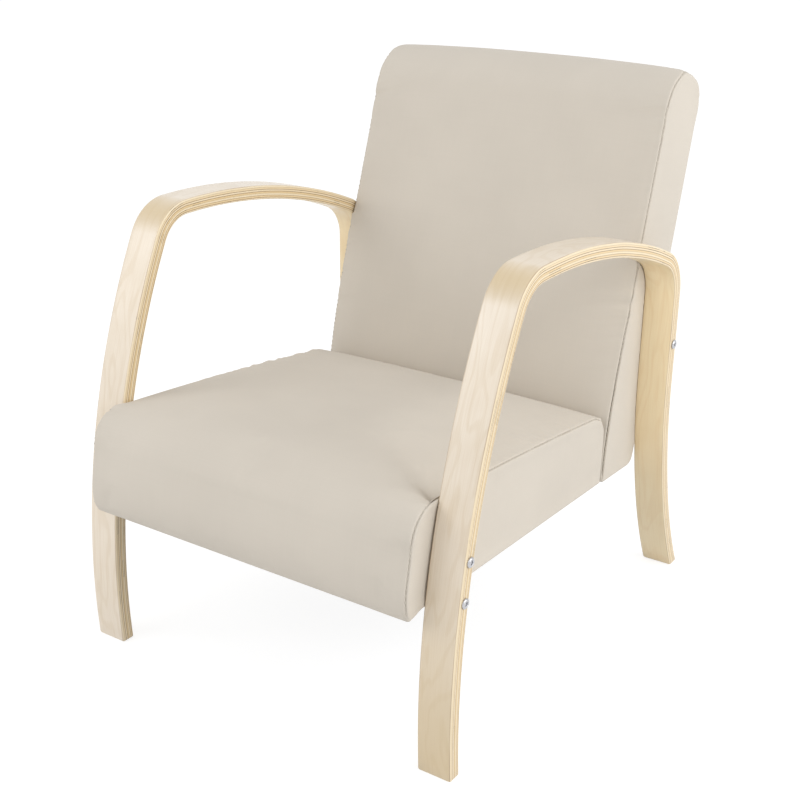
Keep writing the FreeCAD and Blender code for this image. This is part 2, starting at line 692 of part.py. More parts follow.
for label, (front, low) in back_rails.items():
    rail = new_body(label, back_frame)
    block(rail, Vector(-stile_inner, front, low), 2 * stile_inner, board_front - front,
          "sizes.back_rail_thickness")
    drill_rail_ends(rail, stile_inner, back_dowels[label])

lower_rail = new_body("back_lower_rail", seat_frame)
block(lower_rail, Vector(-stile_inner, lower_rail_front, rail_bottom), 2 * stile_inner,
      "sizes.lower_rail_thickness", "sizes.lower_rail_height")
drill_rail_ends(lower_rail, stile_inner, lower_dowels)
for point in plate_points[lower_rail_middle]:
    rod(lower_rail, point, UPWARD, SCREW, "sizes.plate_screw_bite", cut=True)

pins = new_body("back_frame_dowels", back_frame, separate=True)
for points in back_dowels.values():
    dowel_pins(pins, stile_inner, points)
dowel_pins(pins, stile_inner, [seat_to_back.multVec(p) for p in lower_dowels])

back_webbing = new_body("back_webbing", back_frame, separate=True)
lower_rail_end = seat_to_back.multVec(Vector(0, lower_rail_front, lower_rail_top)).z
for place in strap_places(lower_rail_end, stile_top):
    block(back_webbing, Vector(-frame_half, stile_front - dim.webbing_thickness, place),
          2 * frame_half, WEB_THICK, WEB)

rear_board = new_body("back_rear_board", back_frame)
block(rear_board, Vector(-frame_half, board_front, board_bottom), 2 * frame_half,
      "sizes.back_board_thickness", stile_top - board_bottom)

# Side frame bolts and the tee nuts on the inner faces of the rails and stiles

nut_faces = [(front_bolt_points[0], rail_inner), (front_bolt_points[1], rail_inner),
             (rear_bolt_point, stile_inner)]
frame_outer = dim.overall_width / 2

tee_nuts = new_body("tee_nuts", side_frame, separate=True)
frame_bolts = new_body("frame_bolts", side_frame, separate=True)
for side in SIDES.values():
    outwards, inwards = TURN_TO_SIDE[side], TURN_TO_SIDE[-side]
    for point, face in nut_faces:
        nut_end = face - dim.tee_flange_thickness
        rod(tee_nuts, at_x(point, side * nut_end), outwards, "sizes.tee_flange_diameter",
            "sizes.tee_flange_thickness")
        rod(tee_nuts, at_x(point, side * face), outwards, "sizes.tee_barrel_diameter",
            "sizes.tee_barrel_length")
        rod(tee_nuts, at_x(point, side * nut_end), outwards, "sizes.bolt_diameter + sizes.thread_gap",
            "sizes.tee_flange_thickness + sizes.tee_barrel_length", cut=True)
        rod(frame_bolts, at_x(point, side * frame_outer), inwards, "sizes.bolt_diameter",
            frame_outer - nut_end + dim.bolt_tail)
        rod(frame_bolts, at_x(point, side * frame_outer), outwards, "sizes.bolt_head_diameter",
            "sizes.bolt_head_rim")
        cone(frame_bolts, at_x(point, side * (frame_outer + dim.bolt_head_rim)), outwards,
             "sizes.bolt_head_diameter", "sizes.bolt_head_top", "sizes.bolt_head_dome")
        head_end = frame_outer + dim.bolt_head_rim + dim.bolt_head_dome
        socket = frame_bolts.newObject("PartDesign::SubtractivePrism", "socket")
        bind(socket, Circumradius="sizes.bolt_socket_width / sqrt(3)", Height="sizes.bolt_socket_depth")
        socket.Placement = Placement(at_x(point, side * (head_end - dim.bolt_socket_depth)), outwards)

# Upholstery: foam over the frames, sewn covers over the foam, a dust cover under the seat

hole_radius = (dim.bolt_diameter + dim.bolt_clearance) / 2
foam_inset = dim.cover_thickness + dim.soft_gap
past_side = 2 * dim.cover_thickness + dim.side_swell + dim.soft_gap


def side_holes(points):
    """Bolt holes through both side panels of a cover."""
    return [Part.makeCylinder(hole_radius, past_side, at_x(p, side * frame_half), Vector(side, 0, 0))
            for p in points for side in SIDES.values()]


def hem_holes(points):
    """Plate screw holes down through the lower face of a cover."""
    return [Part.makeCylinder(dim.screw_diameter / 2, 2 * rail_bottom, p, Vector(0, 0, -1)) for p in points]


def spanning_box(low_y, high_y, low_z, high_z, half):
    """A box across the width, to cut with."""
    return Part.makeBox(2 * half, high_y - low_y, high_z - low_z, Vector(-half, low_y, low_z))


seat_room = spanning_box(rail_front - dim.soft_gap, dim.seat_depth, 0, webbing_top + dim.soft_gap,
                         unit_half)
seat_foam = crowned_solid(seat_form, foam_inset).cut(seat_room)
soft_feature("seat_foam", seat_foam, seat_frame)

back_room = spanning_box(stile_front - dim.webbing_thickness - dim.soft_gap, 2 * dim.back_bottom_thickness,
                         -heel_rise, stile_top + dim.soft_gap, unit_half)
back_foam = crowned_solid(back_form, foam_inset).cut(back_room)
soft_feature("back_foam", back_foam, back_frame)

seat_window = spanning_box(corner_y["front"], corner_y["rear"], -rail_bottom, rail_bottom, rail_inner)
seat_cuts = [crowned_solid(seat_form, dim.cover_thickness), seat_window]
seat_cuts += side_holes([in_seat(p) for p in front_bolt_points])
seat_cuts += hem_holes(plate_points[rear_rail_middle])
seat_cover = seat_outer
for tool in seat_cuts:
    seat_cover = seat_cover.cut(tool)
soft_feature("seat_cover", seat_cover, seat_frame)

lower_holes = hem_holes(plate_points[lower_rail_middle])
for hole in lower_holes:
    hole.Placement = seat_to_back.multiply(hole.Placement)
back_cuts = [crowned_solid(back_form, dim.cover_thickness)] + lower_holes
back_cuts += side_holes([in_back(rear_bolt_point)])
back_cover = back_outer
for tool in back_cuts:
    back_cover = back_cover.cut(tool)
soft_feature("back_cover", back_cover, back_frame)

dust_half = seam_half - dim.dust_cover_inset
dust_cover = new_body("seat_dust_cover", seat_frame)
block(dust_cover, Vector(-dust_half, dim.dust_cover_inset, -dim.dust_cover_thickness), 2 * dust_half,
      "sizes.seat_depth - 2 * sizes.dust_cover_inset", "sizes.dust_cover_thickness")
for point in plate_points[rear_rail_middle]:
    rod(dust_cover, point, DOWNWARD, SCREW, 2 * rail_bottom, cut=True)

# Joining plates under the seat's rear rail and the back's lower rail

plate_face = -dim.dust_cover_thickness - dim.plate_thickness
plate_length = lower_rail_front + dim.lower_rail_thickness - corner_y["rear"]
plates = new_body("joining_plates", seat_frame, separate=True)
for side in SIDES.values():
    block(plates, Vector(side * dim.plate_place - dim.plate_width / 2, corner_y["rear"], plate_face),
          "sizes.plate_width", plate_length, "sizes.plate_thickness")
plate_screws = new_body("joining_plate_screws", seat_frame, separate=True)
for point in plate_points[rear_rail_middle] + plate_points[lower_rail_middle]:
    seat = Vector(point.x, point.y, plate_face)
    rod(plates, seat, UPWARD, SCREW, "sizes.plate_thickness", cut=True)
    wood_screw(plate_screws, seat, UPWARD, DOWNWARD, rail_bottom - plate_face + dim.plate_screw_bite)

# Check every object, then write each sub-part's solid to its own file

doc.recompute()
for thing in doc.Objects:
    if "Invalid" in thing.State or "Error" in thing.State:
        raise RuntimeError(f"{thing.Label} could not be made: {thing.State}")
for node in nodes:
    if node.Shape.isNull() or not node.Shape.isValid() or not node.Shape.Solids:
        raise RuntimeError(f"{node.Label} has no valid solid")

os.makedirs("parts", exist_ok=True)
for node in nodes:
    node.Shape.exportStep(f"parts/{node.Label}.step")
    print(f"{node.Label}: {len(node.Shape.Solids)} solids, {node.Shape.Volume / 1000:.1f} cm3")
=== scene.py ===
"""Looks of a bentwood lounge armchair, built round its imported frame. Lengths are in metres."""

import math
from types import SimpleNamespace

import bmesh
import bpy
import numpy as np
from bpy.props import FloatProperty, FloatVectorProperty, IntProperty, PointerProperty
from mathutils import Matrix, Vector
from mathutils.geometry import delaunay_2d_cdt


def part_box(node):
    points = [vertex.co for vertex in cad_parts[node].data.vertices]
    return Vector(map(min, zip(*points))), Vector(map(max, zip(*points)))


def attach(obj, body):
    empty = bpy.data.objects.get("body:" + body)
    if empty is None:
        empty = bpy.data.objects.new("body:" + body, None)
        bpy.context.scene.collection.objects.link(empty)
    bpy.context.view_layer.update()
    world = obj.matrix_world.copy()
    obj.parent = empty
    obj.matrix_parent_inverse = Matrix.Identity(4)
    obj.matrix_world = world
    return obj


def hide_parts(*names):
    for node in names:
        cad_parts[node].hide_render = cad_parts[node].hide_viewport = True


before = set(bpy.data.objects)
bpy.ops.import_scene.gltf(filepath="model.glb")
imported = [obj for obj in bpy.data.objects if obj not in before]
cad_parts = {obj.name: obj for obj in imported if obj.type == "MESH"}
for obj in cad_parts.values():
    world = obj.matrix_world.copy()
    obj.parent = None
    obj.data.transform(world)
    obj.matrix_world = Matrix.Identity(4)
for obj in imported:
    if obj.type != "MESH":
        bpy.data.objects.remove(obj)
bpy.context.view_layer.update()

bl_info = {
    "name": "Bentwood armchair looks",
    "version": (1, 0, 0),
    "blender": (4, 5, 0),
    "location": "View3D > Sidebar > Armchair",
    "description": "Dresses the armchair: bent plywood frames, sewn cushions, bolts and a studio",
    "category": "Object",
}

BODY = "root"
SIDES = {"left": 1, "right": -1}


# Properties that a user would change

def length(name, text, default):
    """A length in metres."""
    return FloatProperty(name=name, description=text, default=default, unit="LENGTH", precision=4)


def angle(name, text, degrees):
    """An angle, given in degrees and kept in radians."""
    return FloatProperty(name=name, description=text, default=math.radians(degrees), subtype="ANGLE")


def share(name, text, default):
    """A plain number."""
    return FloatProperty(name=name, description=text, default=default)


def linear(red, green, blue):
    """A screen colour of 0 to 255 as linear light."""
    levels = np.array((red, green, blue)) / 255
    return tuple(np.where(levels <= 0.04045, levels / 12.92, ((levels + 0.055) / 1.055) ** 2.4))


def colour(name, text, red, green, blue):
    """A colour, given as on screen."""
    return FloatVectorProperty(name=name, description=text, default=linear(red, green, blue),
                               subtype="COLOR", size=3, min=0, max=1)


class SideFrameSettings(bpy.types.PropertyGroup):
    """The bent strips."""
    width: length("Width", "Strip, across", 0.050)
    thickness: length("Thickness", "Strip, through its plies", 0.0216)
    edge_round: length("Edge round", "Eased long edges", 0.0022)
    plies: IntProperty(name="Plies", description="Veneers in the strip", default=7)
    foot_lean: angle("Front foot lean", "From vertical, front leg at the floor", -5.6)
    leg_lean: angle("Front leg lean", "From vertical, top of the front leg", 26.1)
    front_bend: length("Front bend", "Radius of the outer face", 0.0755)
    arm_lean: angle("Arm lean", "From vertical, front of the arm", 87.7)
    arm_bow: length("Arm bow", "Radius of the outer face", 1.023)
    rear_bend: length("Rear bend", "Radius of the outer face", 0.084)
    rear_lean: angle("Rear leg lean", "From vertical, top of the rear leg", 178.4)
    rear_straight: length("Rear straight", "Straight run of the rear leg", 0.139)
    rear_foot_lean: angle("Rear foot lean", "From vertical, rear leg at the floor", 148.7)
    ring_step: length("Ring step", "Between cross sections of the mesh", 0.006)
    foot_step: length("Foot step", "Last cross section above a foot", 0.022)
    foot_round: length("Foot round", "Eased edges of the feet", 0.003)
    # The outer and inner veneer colours are partly painted light: the paler outer face stands in for sheen,
    # and the brighter golden inner face for bounced light on a weakly lit face
    veneer: colour("Outer veneer", "Pale veneer of the outer face", 236, 224, 207)
    veneer_dark: colour("Outer grain", "Grain of the outer face", 206, 184, 150)
    inner_veneer: colour("Inner veneer", "Golden veneer of the inner face", 250, 232, 194)
    inner_dark: colour("Inner grain", "Grain of the inner face", 232, 201, 152)
    # Painted warm reflection: a golden tint on the outer veneer at the tight bends and near the left front
    # foot, standing in for reflected light
    bend_reflection: colour("Bend", "Golden outer veneer, at the bends and the left front foot", 207, 183, 136)
    ply_pale: colour("Pale ply", "Ply cut along its grain", 237, 221, 190)
    ply_tan: colour("Tan ply", "Ply cut across its grain", 224, 198, 150)
    glue: colour("Glue line", "Between plies", 120, 74, 34)


class SeatSettings(bpy.types.PropertyGroup):
    """The seat cushion, in the seat's own frame."""
    front_edge: length("Front edge", "Lower front edge, ahead of the chair's middle", 0.39981)
    front_bottom: length("Front bottom", "Lower front edge above the floor", 0.240)
    slope: angle("Slope", "Seat bottom falling to the rear", 2.1)
    depth: length("Depth", "Seat bottom, front to rear", 0.547)
    front_height: length("Front height", "At its front edge", 0.147)
    rear_height: length("Rear height", "At its rear edge", 0.1179)
    front_lean: length("Front lean", "Top front edge ahead of the bottom edge", 0.0053)
    rear_lean: length("Rear lean", "Top rear edge ahead of the bottom edge", 0.003)
    front_round: length("Front round", "Rolled front edge", 0.050)
    rear_round: length("Rear round", "Rolled rear edge", 0.046)
    front_bow: length("Front bow", "Swell of the front seams", 0.008)
    bow: length("Bow", "Swell of the top seams", 0.003)
    crown: length("Crown", "Further swell of the top at mid width", 0.009)
    front_crown: length("Front crown", "Further swell of the front at mid width", 0.006)
    front_sag: length("Front sag", "Lower front edge hanging below the frame", 0.0055)
    left_bulge: length("Left bulge", "Left side swelling ahead of the front leg", 0.0012)
    right_bulge: length("Right bulge", "Right side swelling ahead of the front leg", 0.0045)
    side_pull: length("Side pull", "Side panels drawn in between their seams", 0.0018)
    seam_round: length("Seam round", "Rounding across the side seams", 0.006)


class BackSettings(bpy.types.PropertyGroup):
    """The back cushion, in the back's own frame."""
    tilt: angle("Tilt", "Rear of the back, from vertical", 15.25)
    height: length("Height", "Along its own slope", 0.6435)
    bottom_thickness: length("Bottom thickness", "At the bottom", 0.1086)
    top_thickness: length("Top thickness", "At the top", 0.129)
    front_round: length("Front round", "Rolled top front edge", 0.075)
    rear_round: length("Rear round", "Rolled top rear edge", 0.048)
    heel_round: length("Heel round", "Lower rear edge", 0.018)
    heel_rise: length("Heel rise", "Lower rear edge above the lower front edge", 0.0249)
    bow: length("Bow", "Swell of the front seams", 0.017)
    crown: length("Crown", "Further swell of the front at mid width", 0.009)
    top_crown: length("Top crown", "Swell of the top at mid width", 0.006)
    seam_round: length("Seam round", "Rounding across the side seams", 0.006)
    corner_round: length("Corner round", "Top corners, seen from the front", 0.016)
    taper: length("Taper", "Each side drawn in towards the top", 0.0035)
    side_bulge: length("Side bulge", "Sides swelling ahead of the rear legs", 0.0025)
    side_pull: length("Side pull", "Side panels drawn in between their seams", 0.0004)


class ClothSettings(bpy.types.PropertyGroup):
    """The cover cloth and its sewing."""
    clearance: length("Clearance", "Between a side panel and its frame", 0.0003)
    hem_round: length("Hem round", "Lower edges", 0.004)
    mesh_step: length("Mesh step", "Between points before subdivision", 0.006)
    crown_power: share("Crown power", "How quickly the crown rises from a seam", 4.46)
    seam_groove: length("Seam groove", "Depth of the sewn seams", 0.0016)
    open_groove: length("Open groove", "Depth where a seam pulls open", 0.0030)
    groove_width: length("Groove width", "Half width of a seam's groove", 0.0011)
    pucker: length("Pucker", "Height of the folds at a seam", 0.0024)
    pucker_pitch: length("Pucker pitch", "Fold to fold along a seam", 0.013)
    pucker_reach: length("Pucker reach", "Length of the folds", 0.026)
    ripple: length("Ripple", "Height of the broad unevenness", 0.0010)
    ripple_size: length("Ripple size", "Width of the broad unevenness", 0.11)
    pressure: share("Pressure", "Stuffing pressure of the simulation", 4.0)
    swell_cap: length("Swell cap", "Most that a point may swell", 0.007)
    stitch_pitch: length("Stitch pitch", "Stitch to stitch", 0.008)
    stitch_length: length("Stitch length", "Thread that shows in a stitch", 0.005)
    thread: length("Thread", "Thread diameter", 0.0012)
    yarn: length("Yarn", "Yarn to yarn in the weave", 0.0008)
    tint: colour("Cloth", "Plain greige cloth", 212, 204, 192)
    thread_tint: colour("Thread", "Sewing thread", 214, 207, 194)


class BoltSettings(bpy.types.PropertyGroup):
    """The bolt heads on the strips' outer edges."""
    head: length("Head", "Head diameter", 0.0145)
    rim: length("Rim", "Straight rim of the head", 0.0012)
    dome: length("Dome", "Rounded top of the head", 0.0023)
    shank: length("Shank", "Shank diameter", 0.008)
    socket: length("Socket", "Hexagon socket across flats", 0.006)
    socket_depth: length("Socket depth", "Hexagon socket", 0.0024)
    metal: colour("Zinc", "Bright zinc", 196, 196, 199)


class StageSettings(bpy.types.PropertyGroup):
    """Camera, lights and floor."""
    camera: FloatVectorProperty(name="Camera", description="Camera place", subtype="TRANSLATION",
                                default=(1.00145, -1.56165, 1.05822), size=3)
    azimuth: angle("Azimuth", "Camera round the chair", 33.083)
    elevation: angle("Elevation", "Camera above the horizon", 21.106)
    roll: angle("Roll", "Camera about its own axis", 1.439)
    lens: FloatProperty(name="Lens", description="Focal length", default=58.22, unit="CAMERA")
    key: FloatProperty(name="Key", description="Key light", default=50, unit="POWER")
    fill: FloatProperty(name="Fill", description="Fill light", default=27, unit="POWER")
    ambient: share("Ambient", "Strength of the surrounding light", 0.69)
    floor_size: length("Floor size", "Side of the floor", 40.0)


# Shader nodes

# Sockets of a Mix node for colours: its factor and both colours, and its result
MIX_INPUTS = (0, 6, 7)
MIX_OUTPUT = 2


def add(tree, kind, inputs=None, **settings):
    """A node with its settings; an input is a value or another node's output."""
    node = tree.nodes.new(kind)
    for name, value in settings.items():
        setattr(node, name, value)
    for name, value in (inputs or {}).items():
        if isinstance(value, bpy.types.NodeSocket):
            tree.links.new(value, node.inputs[name])
        else:
            node.inputs[name].default_value = value
    return node


def maths(tree, operation, *values):
    """Output of a Math node."""
    return add(tree, "ShaderNodeMath", dict(enumerate(values)), operation=operation).outputs[0]


def weighted(tree, first, *others):
    """Sum of values, each given with its weight."""
    total = maths(tree, "MULTIPLY", *first)
    for value, weight in others:
        total = maths(tree, "MULTIPLY_ADD", value, weight, total)
    return total


def ramp(tree, value, low, high, to_low=0.0, to_high=1.0):
    """A value eased from one range to another."""
    limits = {"Value": value, "From Min": low, "From Max": high, "To Min": to_low, "To Max": to_high}
    return add(tree, "ShaderNodeMapRange", limits, interpolation_type="SMOOTHSTEP").outputs[0]


def fade(tree, value, low, high):
    """1 up to a low value, eased to 0 at a high one."""
    return ramp(tree, value, low, high, 1.0, 0.0)


def mix(tree, factor, first, second, blend="MIX"):
    """Output of a Mix node of two colours, each three levels or another node's output."""
    pair = [c if isinstance(c, bpy.types.NodeSocket) else (*c, 1) for c in (first, second)]
    inputs = dict(zip(MIX_INPUTS, (factor, *pair)))
    return add(tree, "ShaderNodeMix", inputs, data_type="RGBA", blend_type=blend).outputs[MIX_OUTPUT]


def noise(tree, vector, scale, detail, **more):
    """Level of a noise texture."""
    inputs = {"Vector": vector, "Scale": scale, "Detail": detail, **more}
    return add(tree, "ShaderNodeTexNoise", inputs).outputs[0]


def level_of(tree, number):
    """A random level from 0 to 1, always the same for a whole number."""
    return add(tree, "ShaderNodeTexWhiteNoise", {"W": number}, noise_dimensions="1D").outputs[0]


def attribute(tree, name, output="Fac"):
    """What a mesh keeps for each point under a name."""
    return add(tree, "ShaderNodeAttribute", attribute_name=name).outputs[output]


def object_place(tree):
    """Place in the part's frame."""
    return add(tree, "ShaderNodeTexCoord").outputs["Object"]


# Shader groups

# Scales of the noise, and the ranges that its levels are eased over
MOTTLE_RANGE = (0.25, 0.75)
FIGURE_SCALE = (4.5, 20.0, 20.0)
FIGURE_RINGS = 58.0
STREAK_SCALE = (14.0, 900.0, 900.0)
STREAK_RANGE = (0.35, 0.7)
PLY_WAVES = 9.0
PLY_WAVER = 0.5
CROSS_LEVELS = (0.4, 1.0)
GLUE_EDGE = (0.06, 0.20)
GLUE_CHANCE = (0.1, 0.9)
GLUE_LEVELS = (0.35, 1.0)
GAPS_ALONG = 17.0
GAPS_THROUGH = 7.31
GAP_CHANCE = (0.65, 0.66)
GAP_EDGE = (0.10, 0.18)


def new_group(name, inputs, outputs):
    """An empty shader group with named sockets; returns it with what it is given and what it puts out."""
    group = bpy.data.node_groups.new(name, "ShaderNodeTree")
    for sockets, way in ((inputs, "INPUT"), (outputs, "OUTPUT")):
        for socket in sockets:
            kind = "NodeSocketVector" if socket == "Vector" else "NodeSocketFloat"
            group.interface.new_socket(socket, in_out=way, socket_type=kind)
    given = group.nodes.new("NodeGroupInput").outputs
    return group, given, group.nodes.new("NodeGroupOutput").inputs


def mottle_group():
    """Soft unevenness, from 0 to 1."""
    group, given, out = new_group("Soft mottle", ("Vector", "Size"), ("Value",))
    scale = maths(group, "DIVIDE", 1.0, given["Size"])
    cloud = noise(group, given["Vector"], scale, 3.0, Roughness=0.55)
    group.links.new(ramp(group, cloud, *MOTTLE_RANGE), out["Value"])
    return group


def weave_group():
    """Plain weave: height of the yarns, and a tint that differs from yarn to yarn."""
    group, given, out = new_group("Plain weave", ("Vector", "Yarn"), ("Height", "Tint"))
    split = add(group, "ShaderNodeSeparateXYZ", {"Vector": given["Vector"]}).outputs
    counts, bumps = [], []
    for way in ("X", "Y"):
        place = maths(group, "DIVIDE", split[way], given["Yarn"])
        counts.append(maths(group, "FLOOR", place))
        turn = maths(group, "MULTIPLY", maths(group, "FRACT", place), math.pi)
        bumps.append(maths(group, "SINE", turn))
    over = maths(group, "PINGPONG", maths(group, "ADD", *counts), 1.0)
    warp = maths(group, "MULTIPLY", bumps[0], over)
    weft = maths(group, "MULTIPLY", bumps[1], maths(group, "SUBTRACT", 1.0, over))
    group.links.new(maths(group, "ADD", warp, weft), out["Height"])
    tint = weighted(group, *((level_of(group, count), 0.5) for count in counts))
    group.links.new(tint, out["Tint"])
    return group


def grain_group():
    """Wood grain along X: broad figure, and fine streaks."""
    group, given, out = new_group("Wood grain", ("Vector", "Seed"), ("Figure", "Streak"))
    shift = add(group, "ShaderNodeCombineXYZ", {"X": given["Seed"], "Y": given["Seed"]}).outputs[0]
    place = add(group, "ShaderNodeVectorMath", {0: given["Vector"], 1: shift}, operation="ADD").outputs[0]
    broad = add(group, "ShaderNodeMapping", {"Vector": place, "Scale": FIGURE_SCALE}).outputs[0]
    figure = noise(group, broad, 1.0, 2.0, Roughness=0.45, Distortion=0.5)
    rings = maths(group, "SINE", maths(group, "MULTIPLY", figure, FIGURE_RINGS))
    group.links.new(ramp(group, rings, 0.0, 1.0), out["Figure"])
    fine = add(group, "ShaderNodeMapping", {"Vector": place, "Scale": STREAK_SCALE}).outputs[0]
    group.links.new(ramp(group, noise(group, fine, 1.0, 2.0), *STREAK_RANGE), out["Streak"])
    return group


def ply_group():
    """Cut edge of plywood: which way each ply runs, the glue lines, and gaps in the inner plies."""
    group, given, out = new_group("Ply edge", ("Vector", "Ply"), ("Cross", "Glue", "Gap"))
    split = add(group, "ShaderNodeSeparateXYZ", {"Vector": given["Vector"]}).outputs
    waver = maths(group, "SUBTRACT", noise(group, given["Vector"], PLY_WAVES, 2.0), 0.5)
    depth = maths(group, "DIVIDE", split["Z"], given["Ply"])
    place = weighted(group, (depth, 1.0), (waver, PLY_WAVER))
    count = maths(group, "FLOOR", place)
    own = ramp(group, level_of(group, count), 0.0, 1.0, *CROSS_LEVELS)
    group.links.new(maths(group, "MULTIPLY", maths(group, "PINGPONG", count, 1.0), own), out["Cross"])
    away = maths(group, "PINGPONG", maths(group, "FRACT", place), 0.5)
    line = maths(group, "ROUND", place)
    strength = ramp(group, level_of(group, line), *GLUE_CHANCE, *GLUE_LEVELS)
    group.links.new(maths(group, "MULTIPLY", fade(group, away, *GLUE_EDGE), strength), out["Glue"])
    spot = {"X": maths(group, "MULTIPLY", split["X"], GAPS_ALONG),
            "Y": maths(group, "MULTIPLY", count, GAPS_THROUGH)}
    chance = noise(group, add(group, "ShaderNodeCombineXYZ", spot).outputs[0], 1.0, 1.0)
    gap = maths(group, "MULTIPLY", ramp(group, chance, *GAP_CHANCE), fade(group, away, *GAP_EDGE))
    group.links.new(gap, out["Gap"])
    return group


GROUP_MAKERS = {"mottle": mottle_group, "weave": weave_group, "grain": grain_group, "ply": ply_group}
groups = {}


def use_group(tree, name, inputs):
    """Outputs of a shared group placed in a material; the group is made at its first use."""
    if name not in groups:
        groups[name] = GROUP_MAKERS[name]()
    return add(tree, "ShaderNodeGroup", inputs, node_tree=groups[name]).outputs


# Materials

# Shares of the marks, sizes of the blotches, and each relief's height and strength
CLOTH_BLOTCH = 0.16
CLOTH_SHADES = (0.975, 1.02)
YARN_SHADES = ((0.985, 0.985, 0.985), (1.0, 1.0, 1.0))
YARN_ROUGHNESS = (0.95, 0.84)
YARN_RELIEF = (0.0002, 0.3)
# Width and colour of the painted shade line along the sewn seams
SEAM_LINE = (0.0004, 0.0011)
SEAM_PAINTED_SHADE = (104, 92, 76)
STRIP_SEED = 3.7
FIGURE_SHARE = 0.17
STREAK_SHARE = 0.16
BROAD_SHARE = 0.22
BROAD_SIZE = 0.12
# Share of the painted golden reflection at the bends and the left front foot
REFLECTION_SHARE = 0.65
FACE_CHANGE = (0.4, 0.6)
EDGE_STREAK = 0.3
GLUE_SHARE = 0.85
# Darkening of the core voids, a painted shade
GAP_PAINTED_SHADE = 0.45
LACQUER_BLOTCH = 0.05
LACQUER_ROUGHNESS = (0.30, 0.40)
EDGE_ROUGHNESS = 0.2
STREAK_RELIEF = -0.25
WOOD_RELIEF = (0.0002, 0.5)
TIMBER_SEED = 1.3
TIMBER_STREAK = 0.4
TIMBER_RELIEF = (0.0003, 0.4)
METAL_BLOTCH = 0.004
METAL_SHADE = 0.9
METAL_ROUGHNESS = (0.8, 1.3)
FIBRE_SIZE = 0.003
FIBRE_SHADE = 0.82
FIBRE_RELIEF = (0.0004, 0.4)


def new_material(name, **constants):
    """A material with one Principled shader; returns it with its tree and shader."""
    material = bpy.data.materials.new(name)
    material.use_nodes = True
    tree = material.node_tree
    shader = next(n for n in tree.nodes if n.type == "BSDF_PRINCIPLED")
    for socket, value in constants.items():
        shader.inputs[socket.replace("_", " ").title().replace("Ior", "IOR")].default_value = value
    return material, tree, shader


def bump(tree, shader, height, distance, strength):
    """Surface relief of a height in metres."""
    node = add(tree, "ShaderNodeBump", {"Height": height, "Distance": distance, "Strength": strength})
    tree.links.new(node.outputs[0], shader.inputs["Normal"])


def mottle(tree, vector, size):
    """Soft unevenness of a size."""
    return use_group(tree, "mottle", {"Vector": vector, "Size": size})["Value"]


def shaded(base, factor):
    """A colour made lighter or darker."""
    return tuple(min(1.0, level * factor) for level in base)


def cloth_material(name, base, yarn):
    """Matte woven cloth; the weave follows the piece's own cloth map, and a painted shade line runs along the
    seams.
    """
    material, tree, shader = new_material(name, sheen_weight=0.12, sheen_roughness=0.45,
                                          specular_ior_level=0.25)
    flat = add(tree, "ShaderNodeUVMap", uv_map="cloth").outputs[0]
    weave = use_group(tree, "weave", {"Vector": flat, "Yarn": yarn})
    blotch = mottle(tree, object_place(tree), CLOTH_BLOTCH)
    tone = mix(tree, blotch, *(shaded(base, shade) for shade in CLOTH_SHADES))
    woven = mix(tree, 1.0, tone, mix(tree, weave["Tint"], *YARN_SHADES), "MULTIPLY")
    # Painted shade: a thin dark line along each seam, strongest where the seam pulls open
    line = fade(tree, maths(tree, "ABSOLUTE", attribute(tree, "seam")), *SEAM_LINE)
    dark = maths(tree, "MULTIPLY", line, attribute(tree, "parted_shade"))
    tree.links.new(mix(tree, dark, woven, linear(*SEAM_PAINTED_SHADE)), shader.inputs["Base Color"])
    tree.links.new(ramp(tree, weave["Height"], 0.0, 1.0, *YARN_ROUGHNESS), shader.inputs["Roughness"])
    bump(tree, shader, weave["Height"], *YARN_RELIEF)
    return material


